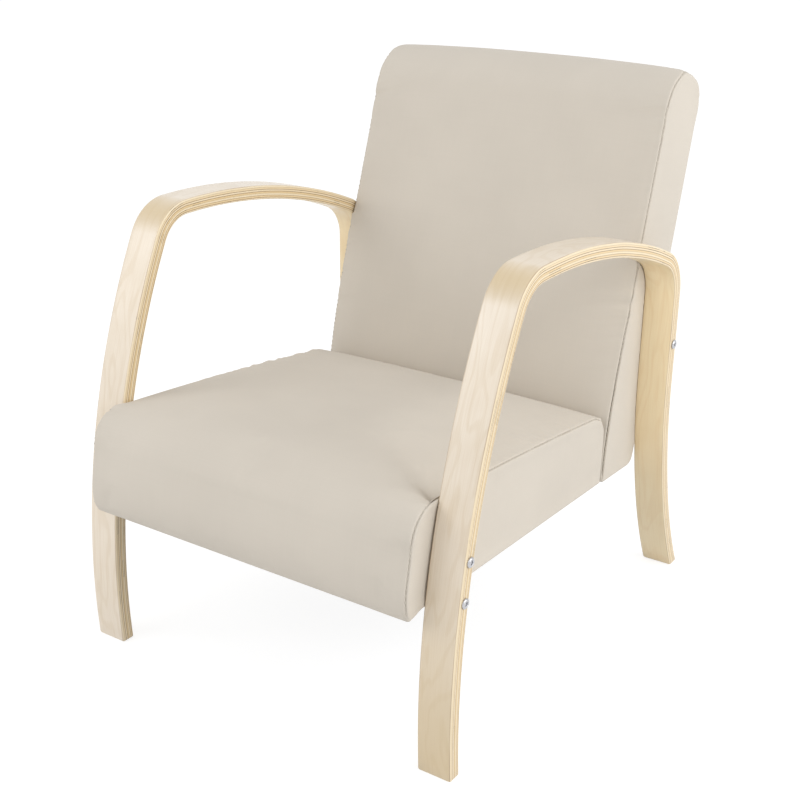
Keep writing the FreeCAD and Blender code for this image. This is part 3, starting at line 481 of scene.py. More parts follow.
def plywood_material(s):
    """Lacquered birch plywood, which reads each point's place along, across and through the strip."""
    material, tree, shader = new_material("birch_plywood", specular_ior_level=0.55, coat_weight=0.35,
                                          coat_roughness=0.24)
    strip = attribute(tree, "strip", "Vector")
    split = add(tree, "ShaderNodeSeparateXYZ", {"Vector": strip}).outputs
    grain = use_group(tree, "grain", {"Vector": strip, "Seed": STRIP_SEED})
    ply = use_group(tree, "ply", {"Vector": strip, "Ply": s.thickness / s.plies})
    broad = mottle(tree, strip, BROAD_SIZE)
    marks = weighted(tree, (grain["Figure"], FIGURE_SHARE), (grain["Streak"], STREAK_SHARE),
                     (broad, BROAD_SHARE))
    # Painted warm reflection: a golden tint mixed into the outer veneer at the tight bends and near the left
    # front foot
    painted_reflection = maths(tree, "MULTIPLY", attribute(tree, "painted_reflection"), REFLECTION_SHARE)
    outer = mix(tree, painted_reflection, mix(tree, marks, s.veneer, s.veneer_dark), s.bend_reflection)
    # The split of outer and inner veneer is partly painted light: the paler outer face stands in for sheen,
    # the brighter golden inner face for bounced light
    inner = mix(tree, marks, s.inner_veneer, s.inner_dark)
    face = mix(tree, ramp(tree, split["Z"], *(s.thickness * part for part in FACE_CHANGE)), outer, inner)
    edge = mix(tree, ply["Cross"], s.ply_pale, s.ply_tan)
    edge = mix(tree, maths(tree, "MULTIPLY", grain["Streak"], EDGE_STREAK), edge, s.ply_tan)
    edge = mix(tree, maths(tree, "MULTIPLY", ply["Glue"], GLUE_SHARE), edge, s.glue)
    # The voids are real gaps in the core plies; their dark colour is painted shade inside them
    edge = mix(tree, ply["Gap"], edge, shaded(s.glue, GAP_PAINTED_SHADE))
    across = maths(tree, "ABSOLUTE", split["Y"])
    on_edge = ramp(tree, across, s.width / 2 - s.edge_round, s.width / 2 - s.edge_round / 4)
    tree.links.new(mix(tree, on_edge, face, edge), shader.inputs["Base Color"])
    lacquer = ramp(tree, mottle(tree, object_place(tree), LACQUER_BLOTCH), 0.0, 1.0, *LACQUER_ROUGHNESS)
    tree.links.new(weighted(tree, (lacquer, 1.0), (on_edge, EDGE_ROUGHNESS)), shader.inputs["Roughness"])
    cuts = maths(tree, "MULTIPLY", maths(tree, "ADD", ply["Glue"], ply["Gap"]), on_edge)
    bump(tree, shader, weighted(tree, (grain["Streak"], STREAK_RELIEF), (cuts, -1.0)), *WOOD_RELIEF)
    return material


def timber_material(name, base, dark, roughness):
    """Plain unfinished timber or board."""
    material, tree, shader = new_material(name, roughness=roughness, specular_ior_level=0.25)
    grain = use_group(tree, "grain", {"Vector": object_place(tree), "Seed": TIMBER_SEED})
    tone = mix(tree, grain["Figure"], base, dark)
    streak = maths(tree, "MULTIPLY", grain["Streak"], TIMBER_STREAK)
    tree.links.new(mix(tree, streak, tone, dark), shader.inputs["Base Color"])
    bump(tree, shader, grain["Streak"], *TIMBER_RELIEF)
    return material


def metal_material(name, base, roughness):
    """Zinc plated steel with faint handling marks."""
    material, tree, shader = new_material(name, metallic=1.0)
    worn = mottle(tree, object_place(tree), METAL_BLOTCH)
    tree.links.new(mix(tree, worn, shaded(base, METAL_SHADE), base), shader.inputs["Base Color"])
    levels = (roughness * part for part in METAL_ROUGHNESS)
    tree.links.new(ramp(tree, worn, 0.0, 1.0, *levels), shader.inputs["Roughness"])
    return material


def strap_material(name, base):
    """Plain fibres with no map of their own."""
    material, tree, shader = new_material(name, roughness=0.85, specular_ior_level=0.2)
    fibres = mottle(tree, object_place(tree), FIBRE_SIZE)
    tree.links.new(mix(tree, fibres, shaded(base, FIBRE_SHADE), base), shader.inputs["Base Color"])
    bump(tree, shader, fibres, *FIBRE_RELIEF)
    return material


def cover_cloth(c):
    """The cloth that both cushions share."""
    return bpy.data.materials.get("greige_cloth") or cloth_material("greige_cloth", c.tint, c.yarn)


def thread_material(c):
    """The sewing thread that both cushions share."""
    return bpy.data.materials.get("sewing_thread") or strap_material("sewing_thread", c.thread_tint)


# Meshes

SHARP_DEGREES = 50
ALL_SMOOTH = 180
RANDOM_DRAWS = 4096


def new_object(name, data):
    """An object in the scene."""
    thing = bpy.data.objects.new(name, data)
    bpy.context.scene.collection.objects.link(thing)
    return thing


def new_piece(name, points, faces, material):
    """A smooth-shaded mesh object that rides on the chair."""
    mesh = bpy.data.meshes.new(name)
    mesh.from_pydata([tuple(p) for p in points], [], faces)
    mesh.polygons.foreach_set("use_smooth", np.ones(len(mesh.polygons), bool))
    mesh.materials.append(material)
    piece = new_object(name, mesh)
    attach(piece, BODY)
    return piece


def tidy_faces(piece, sharp_degrees):
    """Turn faces outwards and keep edges sharper than an angle crisp."""
    work = bmesh.new()
    work.from_mesh(piece.data)
    bmesh.ops.recalc_face_normals(work, faces=work.faces)
    work.to_mesh(piece.data)
    work.free()
    piece.data.set_sharp_from_angle(angle=math.radians(sharp_degrees))


def tube_faces(starts, size):
    """Quads that join closed rings of one size, each given by its first point."""
    faces = []
    for low, high in zip(starts, starts[1:]):
        faces += [(low + i, low + (i + 1) % size, high + (i + 1) % size, high + i) for i in range(size)]
    return faces


def closed_tube(first, rings, size):
    """Faces of a tube of closed rings with flat ends, from its first point on."""
    starts = [first + ring * size for ring in range(rings)]
    ends = [tuple(range(start, start + size)) for start in (starts[0], starts[-1])]
    return tube_faces(starts, size) + ends


def keep_attribute(piece, name, values):
    """Store a number or a vector for each point."""
    values = np.asarray(values, np.float32)
    kind, field = ("FLOAT", "value") if values.ndim == 1 else ("FLOAT_VECTOR", "vector")
    piece.data.attributes.new(name, kind, "POINT").data.foreach_set(field, values.ravel())


def read_attribute(mesh, name):
    """A number kept for each point."""
    values = np.empty(len(mesh.vertices), np.float32)
    mesh.attributes[name].data.foreach_get("value", values)
    return values.astype(float)


def read_points(mesh, normals=False):
    """Every point of a mesh, or its normal."""
    values = np.empty(len(mesh.vertices) * 3, np.float32)
    if normals:
        mesh.vertex_normals.foreach_get("vector", values)
    else:
        mesh.vertices.foreach_get("co", values)
    return values.reshape(-1, 3).astype(float)


def move_points(mesh, points):
    """Set every point of a mesh."""
    mesh.vertices.foreach_set("co", points.astype(np.float32).ravel())
    mesh.update()


def eased(values):
    """Smooth step from 0 to 1."""
    values = np.clip(values, 0, 1)
    return values * values * (3 - 2 * values)


def wander(places, seed):
    """Smooth random line from -1 to 1, one swing for each unit."""
    draws = np.random.default_rng(seed).uniform(-1, 1, RANDOM_DRAWS)
    base = np.floor(places).astype(int)
    within = eased(places - base)
    return draws[base % draws.size] * (1 - within) + draws[(base + 1) % draws.size] * within


# Side frames

# Counts of the strips' mesh, and where their outer veneer gets a painted warm reflection
HALVINGS = 50
ROUND_POINTS = 5
FACE_STEPS = 8
FOOT_STEPS = 4
STRIP_SHIFT = 1.7
TIGHT_BEND = 0.2
FOOT_REFLECTIONS = {"left": 1.0, "right": 0.0}
FOOT_REFLECTION_REACH = 0.36


def heading(lean):
    """Direction of travel along the strip, as Y and Z."""
    return np.array((math.sin(lean), math.cos(lean)))


def inward(lean):
    """Direction from the outer face to the inner face, as Y and Z."""
    return np.array((math.cos(lean), -math.sin(lean)))


class Bend:
    """One arc of the strip's outer face, between two leans from vertical."""

    def __init__(self, start, lean_from, lean_to, radius):
        self.sign = 1 if lean_to > lean_from else -1
        self.radius = radius
        self.leans = (lean_from, lean_to)
        self.center = start + inward(lean_from) * (self.sign * radius)
        self.length = radius * abs(lean_to - lean_from)

    def point(self, lean, depth=0.0):
        """Place at a lean, at a depth below the outer face."""
        return self.center + inward(lean) * (depth - self.sign * self.radius)

    def floor_point(self, depth, height):
        """Where the face at a depth passes a height, near the end that stands on the floor."""
        reach = self.sign * self.radius - depth
        across = math.sqrt(reach ** 2 - (self.center[1] - height) ** 2)
        return np.array((self.center[0] - across, height))


def rise(lean_from, lean_to):
    """Height gained by an arc of radius 1 between two leans."""
    return math.sin(lean_to) - math.sin(lean_from)


def strip_path(s):
    """The strip's five arcs from front foot to rear foot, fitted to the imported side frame."""
    low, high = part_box("left_side_frame")
    top_rise = s.front_bend * rise(s.leg_lean, s.arm_lean) + s.arm_bow * rise(s.arm_lean, math.pi / 2)
    leg_radius = (high.z - top_rise) / rise(s.foot_lean, s.leg_lean)
    foot = np.array((low.y + leg_radius * (1 - math.cos(s.foot_lean)), 0.0))
    leg = Bend(foot, s.foot_lean, s.leg_lean, leg_radius)
    front = Bend(leg.point(s.leg_lean), s.leg_lean, s.arm_lean, s.front_bend)

    def rear_arcs(arm_end):
        arm = Bend(front.point(s.arm_lean), s.arm_lean, arm_end, s.arm_bow)
        rear = Bend(arm.point(arm_end), arm_end, s.rear_lean, s.rear_bend)
        flare_start = rear.point(s.rear_lean) + heading(s.rear_lean) * s.rear_straight
        flare_radius = flare_start[1] / rise(s.rear_lean, s.rear_foot_lean)
        return arm, rear, Bend(flare_start, s.rear_lean, s.rear_foot_lean, flare_radius)

    short, long = s.arm_lean, s.rear_lean
    for _ in range(HALVINGS):
        middle = (short + long) / 2
        flare = rear_arcs(middle)[-1]
        if flare.point(s.rear_foot_lean)[0] < high.y:
            short = middle
        else:
            long = middle
    return [leg, front, *rear_arcs(middle)]


def strip_section(s):
    """Rounded rectangle of the strip: across from its middle, and depth below its outer face."""
    half, deep, r = s.width / 2, s.thickness, s.edge_round
    centers = ((half - r, r, -90), (half - r, deep - r, 0), (r - half, deep - r, 90), (r - half, r, 180))
    arcs = []
    for across, depth, start in centers:
        turns = np.radians(np.linspace(start, start + 90, ROUND_POINTS))
        arcs.append(np.stack((across + r * np.cos(turns), depth + r * np.sin(turns)), axis=1))
    runs = []
    for arc, following, count in zip(arcs, arcs[1:] + arcs[:1], (s.plies, FACE_STEPS) * 2):
        shares = np.linspace(0, 1, count + 1)[1:-1, None]
        runs += [arc, arc[-1] * (1 - shares) + following[0] * shares]
    return np.concatenate(runs)


def foot_rings(s, bend, section):
    """Rings of a foot's eased end as X, Y and Z, from the floor up, and their heights."""
    middle = np.array((0, s.thickness / 2))
    half = np.array((s.width, s.thickness)) / 2
    turns = np.linspace(0, math.pi / 2, FOOT_STEPS)
    heights = s.foot_round * (1 - np.cos(turns))
    rings = []
    for inset, height in zip(s.foot_round * (1 - np.sin(turns)), heights):
        shrunk = middle + (section - middle) * (1 - inset / half)
        face = [bend.floor_point(depth, height) for depth in shrunk[:, 1]]
        rings.append(np.column_stack((shrunk[:, 0], face)))
    return rings, heights


def strip_rings(s, section):
    """Rings of the strip as X from its middle, Y and Z, each one's place along it and how bent it is."""
    path = strip_path(s)
    leg, flare = path[0], path[-1]
    rings, heights = foot_rings(s, leg, section)
    along = list(heights)
    bent = [0.0] * len(heights)
    travelled = 0.0
    for bend in path:
        lean_from, lean_to = bend.leans
        foot = bend.sign * s.foot_step / bend.radius
        first = lean_from + foot if bend is leg else lean_from
        last = lean_to - foot if bend is flare else lean_to
        travelled += s.rear_straight if bend is flare else 0.0
        count = math.ceil(bend.radius * abs(last - first) / s.ring_step)
        shared_end = 0 if bend in (leg, flare) else 1
        tight = bend.radius < TIGHT_BEND
        for lean in np.linspace(first, last, count + 1)[shared_end:]:
            face = bend.center + np.outer(section[:, 1] - bend.sign * bend.radius, inward(lean))
            rings.append(np.column_stack((section[:, 0], face)))
            along.append(travelled + bend.radius * abs(lean - lean_from))
            bent.append(tight * math.sin(math.pi * (lean - lean_from) / (lean_to - lean_from)))
        travelled += bend.length
    last_rings, heights = foot_rings(s, flare, section)
    rings += last_rings[::-1]
    along += list(travelled - heights[::-1])
    bent += [0.0] * len(heights)
    return np.array(rings), np.array(along), np.array(bent)


def make_side_frame(s, side, material):
    """One bent strip: front leg, arm and rear leg."""
    node = f"{side}_side_frame"
    low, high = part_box(node)
    section = strip_section(s)
    points, along, bent = strip_rings(s, section)
    count, size = points.shape[:2]
    points[..., 0] = (low.x + high.x) / 2 + SIDES[side] * points[..., 0]
    faces = closed_tube(0, count, size)
    piece = new_piece(f"{side}_bent_strip", points.reshape(-1, 3), faces, material)
    grid = np.empty((count, size, 3))
    grid[..., 0] = along[:, None] + STRIP_SHIFT * SIDES[side]
    grid[..., 1:] = section
    keep_attribute(piece, "strip", grid.reshape(-1, 3))
    # Painted warm reflection on the outer veneer: at the tight bends, and near the left front foot only
    painted_reflection = bent + FOOT_REFLECTIONS[side] * eased(1 - along / FOOT_REFLECTION_REACH)
    keep_attribute(piece, "painted_reflection", np.repeat(painted_reflection, size))
    tidy_faces(piece, SHARP_DEGREES)
    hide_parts(node)


# Cushion forms

# How the sides bow, and where a cushion is drawn in, tapers and sags
SEAT_TO_BACK = 0.0005
PULL_REACH = 0.02
LEAST_POINTS = 4
LEAST_ROUND = 0.0008
EVEN_BOW = (1.0, 1.0)
LOW_BOW = (0.75, 1.7)
SIDE_BOWS = (LOW_BOW, EVEN_BOW, EVEN_BOW, EVEN_BOW)
TAPER_START = 0.45
SAG_REACH = 0.030
SAG_RISE = 0.045


def half_width(c):
    """From the chair's middle to a cushion's side."""
    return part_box("left_side_frame")[0].x - c.clearance


def seat_form(s, c):
    """The seat's outline, in a plane whose axes run to the rear and up."""
    return SimpleNamespace(
        half=half_width(c), tilt=s.slope, origin=np.array((-s.front_edge, s.front_bottom)),
        seam_round=s.seam_round, side_pull=s.side_pull, panel_step=2 * c.mesh_step,
        sag=s.front_sag, corner_round=0.0, taper=0.0,
        corners=np.array(((0, 0), (-s.front_lean, s.front_height), (s.depth - s.rear_lean, s.rear_height),
                          (s.depth, 0))),
        corner_swell=np.array(((0, 0), (0, s.crown / 2), (0, s.crown / 2), (0, 0))),
        radii=np.array((c.hem_round, s.front_round, s.rear_round, c.hem_round)),
        bows=np.array((s.front_bow, s.bow, 0, 0)),
        bow_swell=np.array((s.front_crown, s.crown / 2, 0, 0)))


def back_form(s, c, seat):
    """The back's outline, in a plane whose axes run to the rear and up along the back."""
    heel = placed(seat_form(seat, c), np.array(((seat.depth + SEAT_TO_BACK, 0.0),)))[0]
    lean = s.top_thickness - s.bottom_thickness
    return SimpleNamespace(
        half=half_width(c), tilt=s.tilt, origin=heel,
        seam_round=s.seam_round, side_pull=s.side_pull, panel_step=c.mesh_step,
        sag=0.0, corner_round=s.corner_round, taper=s.taper,
        corners=np.array(((0, 0), (-lean, s.height), (s.bottom_thickness, s.height),
                          (s.bottom_thickness, s.heel_rise))),
        corner_swell=np.array(((0, 0), (0, s.top_crown), (0, s.top_crown), (0, 0))),
        radii=np.array((c.hem_round, s.front_round, s.rear_round, s.heel_round)),
        bows=np.array((s.bow, 0, 0, 0)),
        bow_swell=np.array((s.crown, 0, 0, 0)))


def placed(form, points):
    """Points of a cushion's own plane as Y and Z of the chair."""
    cos, sin = math.cos(form.tilt), math.sin(form.tilt)
    rearward, up = points[:, 0], points[:, 1]
    return form.origin + np.stack((rearward * cos + up * sin, up * cos - rearward * sin), axis=1)


def side_lines(corners):
    """Unit directions along each side of an outline, and out of it."""
    ahead = np.roll(corners, -1, axis=0) - corners
    ahead = ahead / np.linalg.norm(ahead, axis=1, keepdims=True)
    return ahead, np.stack((-ahead[:, 1], ahead[:, 0]), axis=1)


def count_points(form, step):
    """Settle how many points each corner and each side of an outline gets."""
    ahead = side_lines(form.corners)[0]
    turns = np.arccos(np.clip(np.sum(np.roll(ahead, 1, axis=0) * ahead, axis=1), -1, 1))
    form.turns = [max(LEAST_POINTS, math.ceil(r * t / step)) for r, t in zip(form.radii, turns)]
    spans = np.linalg.norm(np.roll(form.corners, -1, axis=0) - form.corners, axis=1)
    form.spans = [max(LEAST_POINTS, math.ceil(span / step)) for span in spans]


def bow_shape(shares, powers):
    """A bow along a side, 1 at its highest; uneven powers shift it to one end."""
    first, second = powers
    top = first / (first + second)
    return (shares / top) ** first * ((1 - shares) / (1 - top)) ** second


def outline(form, swell, insets):
    """Ring of points: front hem, front, top front roll, top, rear roll, rear, rear hem and bottom."""
    corners = form.corners + swell * form.corner_swell
    ahead, out = side_lines(corners)
    arcs = []
    for i in range(4):
        slide = (insets[i - 1] * (out[i - 1] @ out[i]) - insets[i]) / (ahead[i - 1] @ out[i])
        corner = corners[i] - out[i - 1] * insets[i - 1] + ahead[i - 1] * slide
        turn = math.acos(np.clip(ahead[i - 1] @ ahead[i], -1, 1))
        radius = max(form.radii[i] - min(insets[i - 1], insets[i]), LEAST_ROUND)
        center = corner - ahead[i - 1] * (radius * math.tan(turn / 2)) - out[i - 1] * radius
        angles = np.linspace(0, turn, form.turns[i])[:, None]
        arcs.append(center + radius * (np.cos(angles) * out[i - 1] + np.sin(angles) * ahead[i - 1]))
    rows = []
    for i in range(4):
        shares = np.linspace(0, 1, form.spans[i] + 1)[1:-1, None]
        side = arcs[i][-1] * (1 - shares) + arcs[(i + 1) % 4][0] * shares
        bow = form.bows[i] * bow_shape(shares, SIDE_BOWS[i])
        bow = bow + swell * form.bow_swell[i] * bow_shape(shares, EVEN_BOW)
        rows += [arcs[i], side + out[i] * bow]
    return np.concatenate(rows)


def hem_shares(form):
    """For each row of an outline: 0 on the sewn edge, 1 on the bottom, between them on the hems."""
    main = form.spans[0] + form.turns[1] + form.spans[1] + form.turns[2] + form.spans[2] - 3
    return np.concatenate((np.linspace(1, 0, form.turns[0]), np.zeros(main),
                           np.linspace(0, 1, form.turns[3]), np.ones(form.spans[3] - 1)))


def round_over(radius, half, distance):
    """Inset and X at a distance from a seam that lies half way round a rounded edge.

    Distances on the main panel are positive, and on the side panel negative.
    """
    quarter = radius * math.pi / 4
    turn = np.clip(math.pi / 4 + distance / radius, 0, math.pi / 2)
    inset = radius * (1 - math.sin(turn)) + max(0, -distance - quarter)
    return inset, half - radius + radius * math.cos(turn) - max(0, distance - quarter)


def seam_reach(form):
    """Distance from a side seam to mid width."""
    return form.half - form.seam_round * (1 - math.pi / 4)


def tapered(form, heights):
    """How far a side is drawn in at some heights."""
    return form.taper * np.clip((heights / form.corners[1, 1] - TAPER_START) / (1 - TAPER_START), 0, 1)


def cushion_ring(form, c, distance):
    """One ring of the cover at a distance from its side seam, as X, and Y and Z in its own plane."""
    inset, x = round_over(form.seam_round, form.half, distance)
    hem_inset, hem_x = round_over(c.hem_round, form.half, distance)
    swell = 1 - (1 - min(1, max(0, distance) / seam_reach(form))) ** c.crown_power
    flat = outline(form, swell, (inset, inset, inset, hem_inset))
    hem = hem_shares(form)
    pulled = form.side_pull * eased((-distance - c.groove_width) / PULL_REACH)
    xs = x * (1 - hem) + hem_x * hem - pulled
    above = np.clip(flat[:, 1] - form.corners[1, 1] + form.corner_round, 0, form.corner_round)
    drawn_in = form.corner_round - np.sqrt(form.corner_round ** 2 - above ** 2) + tapered(form, flat[:, 1])
    flat[:, 1] -= form.sag * eased(1 - flat[:, 0] / SAG_REACH) * eased(1 - flat[:, 1] / SAG_RISE)
    return xs * (1 - drawn_in / form.half), flat


# Cushion meshes

# Distances of the first columns from a seam, and how a side panel is filled
SEAM_STEPS = (0.0, 0.0015, 0.003, 0.005, 0.008, 0.012, 0.018, 0.025)
SIDE_STEPS = (0.0015, 0.003, 0.005, 0.008, 0.012, 0.018)
PANEL_SEAM = -0.1
PANEL_RIM = 1.4
TRIANGLES_INSIDE = 1
MERGE_DISTANCE = 1e-7
WRAP_SHARE = 0.1


def seam_steps(form, c):
    """Distances from a seam of the main panel's columns, up to mid width."""
    reach = seam_reach(form)
    count = math.ceil((reach - SEAM_STEPS[-1]) / c.mesh_step)
    return np.concatenate((SEAM_STEPS, np.linspace(SEAM_STEPS[-1], reach, count + 1)[1:]))


def inside(points, ring):
    """Which points lie inside a ring: those whose ray crosses it an odd number of times."""
    x, y = points.T[:, :, None]
    x0, y0 = ring.T
    x1, y1 = np.roll(ring, -1, axis=0).T
    crossed = (y0 > y) != (y1 > y)
    climb = np.where(y1 == y0, 1.0, y1 - y0)
    ahead = x < x0 + (y - y0) * (x1 - x0) / climb
    return np.sum(crossed & ahead, axis=1) % 2 == 1


def fill_panel(ring, step):
    """A lattice of points inside a ring, and triangles that fill it: the ring's own points come first."""
    low, high = ring.min(axis=0), ring.max(axis=0)
    lines = (np.arange(a + step, b, step) for a, b in zip(low, high))
    lattice = np.stack(np.meshgrid(*lines), axis=-1).reshape(-1, 2)
    middle = ring.mean(axis=0)
    shrunk = middle + (ring - middle) * (1 - PANEL_RIM * step / (high - low))
    lattice = lattice[inside(lattice, shrunk)]
    every = [Vector(p) for p in np.concatenate((ring, lattice))]
    filled = delaunay_2d_cdt(every, [], [list(range(len(ring)))], TRIANGLES_INSIDE, MERGE_DISTANCE)
    source = [given[0] for given in filled[3]]
    return lattice, [tuple(source[v] for v in face) for face in filled[2]]


class CoverMesh:
    """The points of a cover as they are made, each with its place along and away from its seam."""

    def __init__(self, form):
        self.form = form
        self.count = 0
        self.rows = {"points": [], "flat": [], "seam": [], "side": [], "along": []}

    def add(self, xs, flat, distance, sign, places):
        """Add points of the cover's own plane, and return the number of the first."""
        first = self.count
        row = (np.column_stack((sign * xs, placed(self.form, flat))), flat,
               np.full(len(flat), distance), np.full(len(flat), sign), places)
        for kept, values in zip(self.rows.values(), row):
            kept.append(values)
        self.count += len(flat)
        return first

    def all(self, name):
        """One kind of value for every point."""
        return np.concatenate(self.rows[name])


def add_side_panel(cover, form, c, sign, edge, travel):
    """A side panel inside a seam, whose ring starts at the point edge; returns its faces."""
    size = len(travel)
    starts = [edge]
    for distance in SIDE_STEPS:
        xs, flat = cushion_ring(form, c, -distance)
        starts.append(cover.add(xs, flat, -distance, sign, travel))
    lattice, triangles = fill_panel(flat, form.panel_step)
    xs = form.half - form.side_pull - tapered(form, lattice[:, 1])
    first = cover.add(xs, lattice, PANEL_SEAM, sign, np.zeros(len(lattice)))
    rim = starts[-1]
    filling = [tuple(rim + v if v < size else first + v - size for v in face) for face in triangles]
    return tube_faces(starts, size) + filling


def build_cushion(name, form, c, material):
    """The sewn cover as a mesh, with each point's place along and away from its seams kept."""
    count_points(form, c.mesh_step)
    base = outline(form, 0, (0, 0, 0, 0))
    hops = np.linalg.norm(np.roll(base, -1, axis=0) - base, axis=1)
    travel = np.concatenate(((0,), np.cumsum(hops)[:-1]))
    form.length = travel[len(base) - form.spans[3]]
    steps = seam_steps(form, c)
    columns = [(distance, 1) for distance in steps] + [(distance, -1) for distance in steps[-2::-1]]
    cover = CoverMesh(form)
    starts = []
    for distance, sign in columns:
        starts.append(cover.add(*cushion_ring(form, c, distance), distance, sign, travel))
    faces = tube_faces(starts, len(base))
    main_faces = len(faces)
    for sign, edge in ((1, starts[0]), (-1, starts[-1])):
        faces += add_side_panel(cover, form, c, sign, edge, travel)
    piece = new_piece(name, cover.all("points"), faces, material)
    for place in ("seam", "along", "side"):
        keep_attribute(piece, place, cover.all(place))
    map_cloth(piece, cover.all("flat"), cover.all("along"), main_faces, len(base))
    tidy_faces(piece, ALL_SMOOTH)
    piece["main_length"] = form.length
    return piece


def map_cloth(piece, flats, along, main_faces, size):
    """Lay the weave straight along each panel, in metres."""
    mesh = piece.data
    layer = mesh.uv_layers.new(name="cloth")
    total = along[size - 1] + (along[size - 1] - along[size - 2])
    for face in mesh.polygons:
        on_main = face.index < main_faces
        wraps = on_main and max(along[v] for v in face.vertices) > (1 - WRAP_SHARE) * total
        for loop in face.loop_indices:
            v = mesh.loops[loop].vertex_index
            if on_main:
                reach = along[v] + (total if wraps and along[v] < WRAP_SHARE * total else 0)
                layer.data[loop].uv = (mesh.vertices[v].co.x, reach)
            else:
                layer.data[loop].uv = flats[v]


# Stuffing and sewing

# Where the cloth is held, and the start, pitch and share of its folds and ripples
HELD_NEAR = 0.004
HELD_FAR = 0.022
CLOTH_FRAMES = 20
CLOTH_SLACK = 0.0015
CLOTH_BENDING = 2.0
LEAST_MOVE = 1e-9
# Least strength of the painted shade along every sewn seam
SEAM_SHADE = 0.25
FOLD_SLANT = 0.25
FOLD_START = 40
FINE_FOLD_START = 90
FINE_FOLD_PITCH = 0.45
FINE_FOLD_SHARE = 0.5
RAGGED_START = 20
RAGGED_PITCH = 3.1
RAGGED_SHARE = 0.35
SIDE_FOLD_REACH = 0.25
RIPPLE_WAYS = np.array(((1.0, 0.3, 0.2), (-0.4, 1.0, 0.5), (0.2, -0.5, 1.0)))
RIPPLE_START = 7
RIPPLE_SEEDS = 5
RIPPLE_EASE = 0.03
SIDE_RIPPLE = 0.35
DENT_FADE = 0.7
DENT_TOP = 2
LEG_POINTS = 24
BULGE_OVERLAP = 0.0015
BULGE_WIDTH = 0.06
NO_LEG = -1.0


def read_cover(piece):
    """A cover's points and normals, and each point's place along, away from and beside its seam."""
    mesh = piece.data
    return SimpleNamespace(points=read_points(mesh), normals=read_points(mesh, normals=True),
                           **{name: read_attribute(mesh, name) for name in ("seam", "along", "side")})


def evened(mesh, moves, passes):
    """Moves of a mesh's points, each averaged with its neighbours' some times over."""
    ends = np.empty(len(mesh.edges) * 2, np.int32)
    mesh.edges.foreach_get("vertices", ends)
    first, second = ends.reshape(-1, 2).T
    neighbours = np.bincount(ends, minlength=len(moves))[:, None]
    for _ in range(passes):
        total = np.zeros_like(moves)
        np.add.at(total, first, moves[second])
        np.add.at(total, second, moves[first])
        moves = (moves + total / neighbours) / 2
    return moves


def settle(piece, held, pressure):
    """How far a cloth simulation presses each point of a cover out, where it isn't held."""
    group = piece.vertex_groups.new(name="sewn")
    for level in np.unique(held):
        group.add(np.flatnonzero(held == level).tolist(), float(level), "REPLACE")
    cloth = piece.modifiers.new("stuffing", "CLOTH")
    cloth.settings.vertex_group_mass = group.name
    cloth.settings.use_pressure = True
    cloth.settings.uniform_pressure_force = pressure
    cloth.settings.effector_weights.gravity = 0
    cloth.settings.shrink_min = -CLOTH_SLACK
    cloth.settings.bending_stiffness = CLOTH_BENDING
    cloth.collision_settings.use_collision = False
    scene = bpy.context.scene
    for number in range(1, CLOTH_FRAMES + 1):
        scene.frame_set(number)
    evaluated = piece.evaluated_get(bpy.context.evaluated_depsgraph_get())
    shift = read_points(evaluated.to_mesh()) - read_points(piece.data)
    evaluated.to_mesh_clear()
    piece.modifiers.remove(cloth)
    piece.vertex_groups.remove(group)
    scene.frame_set(1)
    return shift


def stuff(piece, c, passes):
    """Press the main panel out from inside by a cloth simulation, held where it is sewn."""
    cover = read_cover(piece)
    held = 1 - eased((cover.seam - HELD_NEAR) / (HELD_FAR - HELD_NEAR))
    held[cover.along > piece["main_length"] - HELD_NEAR] = 1
    held[cover.along < HELD_NEAR] = 1
    held = np.round(held, 2)
    shift = settle(piece, held, c.pressure)
    shift = evened(piece.data, shift, passes) * (1 - held)[:, None] + shift * held[:, None]
    amount = np.linalg.norm(shift, axis=1, keepdims=True)
    limited = c.swell_cap * np.tanh(amount / c.swell_cap)
    move_points(piece.data, cover.points + shift * limited / np.maximum(amount, LEAST_MOVE))


def subdivide(piece):
    """One subdivision, applied."""
    modifier = piece.modifiers.new("finer", "SUBSURF")
    modifier.levels = 1
    modifier.render_levels = 1
    graph = bpy.context.evaluated_depsgraph_get()
    fine = bpy.data.meshes.new_from_object(piece.evaluated_get(graph), preserve_all_data_layers=True,
                                           depsgraph=graph)
    piece.modifiers.remove(modifier)
    coarse = piece.data
    piece.data = fine
    bpy.data.meshes.remove(coarse)
    fine.name = piece.name


def along_bumps(along, bumps):
    """Sum of smooth bumps of given middle, half width and height along a seam."""
    total = np.zeros_like(along)
    for middle, width, height in bumps:
        total += height * eased(1 - np.abs(along - middle) / width)
    return total


